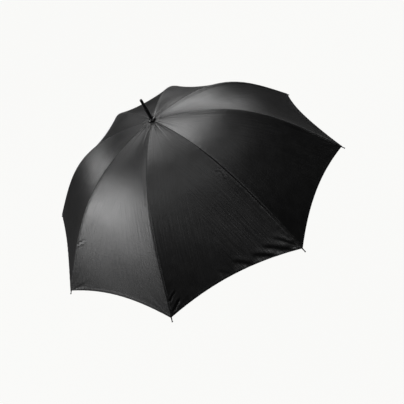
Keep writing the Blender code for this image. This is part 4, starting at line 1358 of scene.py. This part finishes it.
bpy.ops.mesh.primitive_plane_add(size=40.0, location=(0.0, 0.0, -0.0832))
floor = bpy.context.object
floor.name = "floor"
k = Nodes("pale_floor")
tex = k.add("ShaderNodeTexCoord")
mottle = k.noise(tex.outputs["Object"], 3.0, 2.0, 0.5)
tone = k.mix(k.ramp(mottle, 0.3, 0.7), (0.060, 0.060, 0.059), (0.064, 0.064, 0.063))
k.set(Base_Color=tone, Roughness=0.9, Specular_IOR_Level=0.1)
k.set(Emission_Color=(1.0, 1.0, 0.985), Emission_Strength=0.0)
glow = k.add("ShaderNodeEmission")
glow.inputs["Color"].default_value = (1.0, 1.0, 0.985, 1.0)
glow.inputs["Strength"].default_value = 1.03
seen = k.add("ShaderNodeLightPath")
pick = k.add("ShaderNodeMixShader")
share = k.math("MULTIPLY", seen.outputs["Is Camera Ray"], 0.92)
k.link(share, pick.inputs[0])
k.link(k.shader.outputs[0], pick.inputs[1])
k.link(glow.outputs[0], pick.inputs[2])
k.link(pick.outputs[0], k.out.inputs["Surface"])
floor.data.materials.append(k.mat)


def softbox(name, azimuth, elevation, distance, width, height, power, target=(0.0, 0.0, 0.70)):
    a, e = math.radians(azimuth), math.radians(elevation)
    data = bpy.data.lights.new(name, "AREA")
    data.shape = "RECTANGLE"
    data.size, data.size_y = width, height
    data.energy = power
    obj = bpy.data.objects.new(name, data)
    at = Vector(target) + Vector((math.cos(a) * math.cos(e), math.sin(a) * math.cos(e), math.sin(e))) * distance
    obj.location = at
    obj.rotation_euler = (Vector(target) - at).to_track_quat("-Z", "Y").to_euler()
    scene.collection.objects.link(obj)
    return obj


# (azimuth, elevation, power) of the soft boxes: a bank on the left, which lights
# the panel at the lower left, and a bank behind, which lights the top
BOXES = (
    (298, 36, 21.4), (284, 36, 17.6), (280, 50, 16.2), (299, 22, 11.2), (310, 8, 1.6),
    (50, 40, 10.2), (60, 64, 4.0), (30, 80, 2.9), (0, 64, 2.4), (240, 64, 4.9), (243, 22, 2.9), (235, 8, 4.4),
    (208, 50, 10.7), (186, 36, 9.5), (172, 50, 8.0), (172, 36, 7.4), (150, 64, 6.3), (180, 64, 5.3),
    (173, 22, 6.2), (187, 22, 2.3), (159, 22, 2.2), (130, 36, 2.1), (215, 22, 1.3), (132, 1, 2.9), (175, 8, 2.1), (168, 1, 2.0),
)
for i, (azimuth, elevation, power) in enumerate(BOXES):
    softbox(f"box_{i + 1}", azimuth, elevation, 3.0, 0.7, 0.7, power)
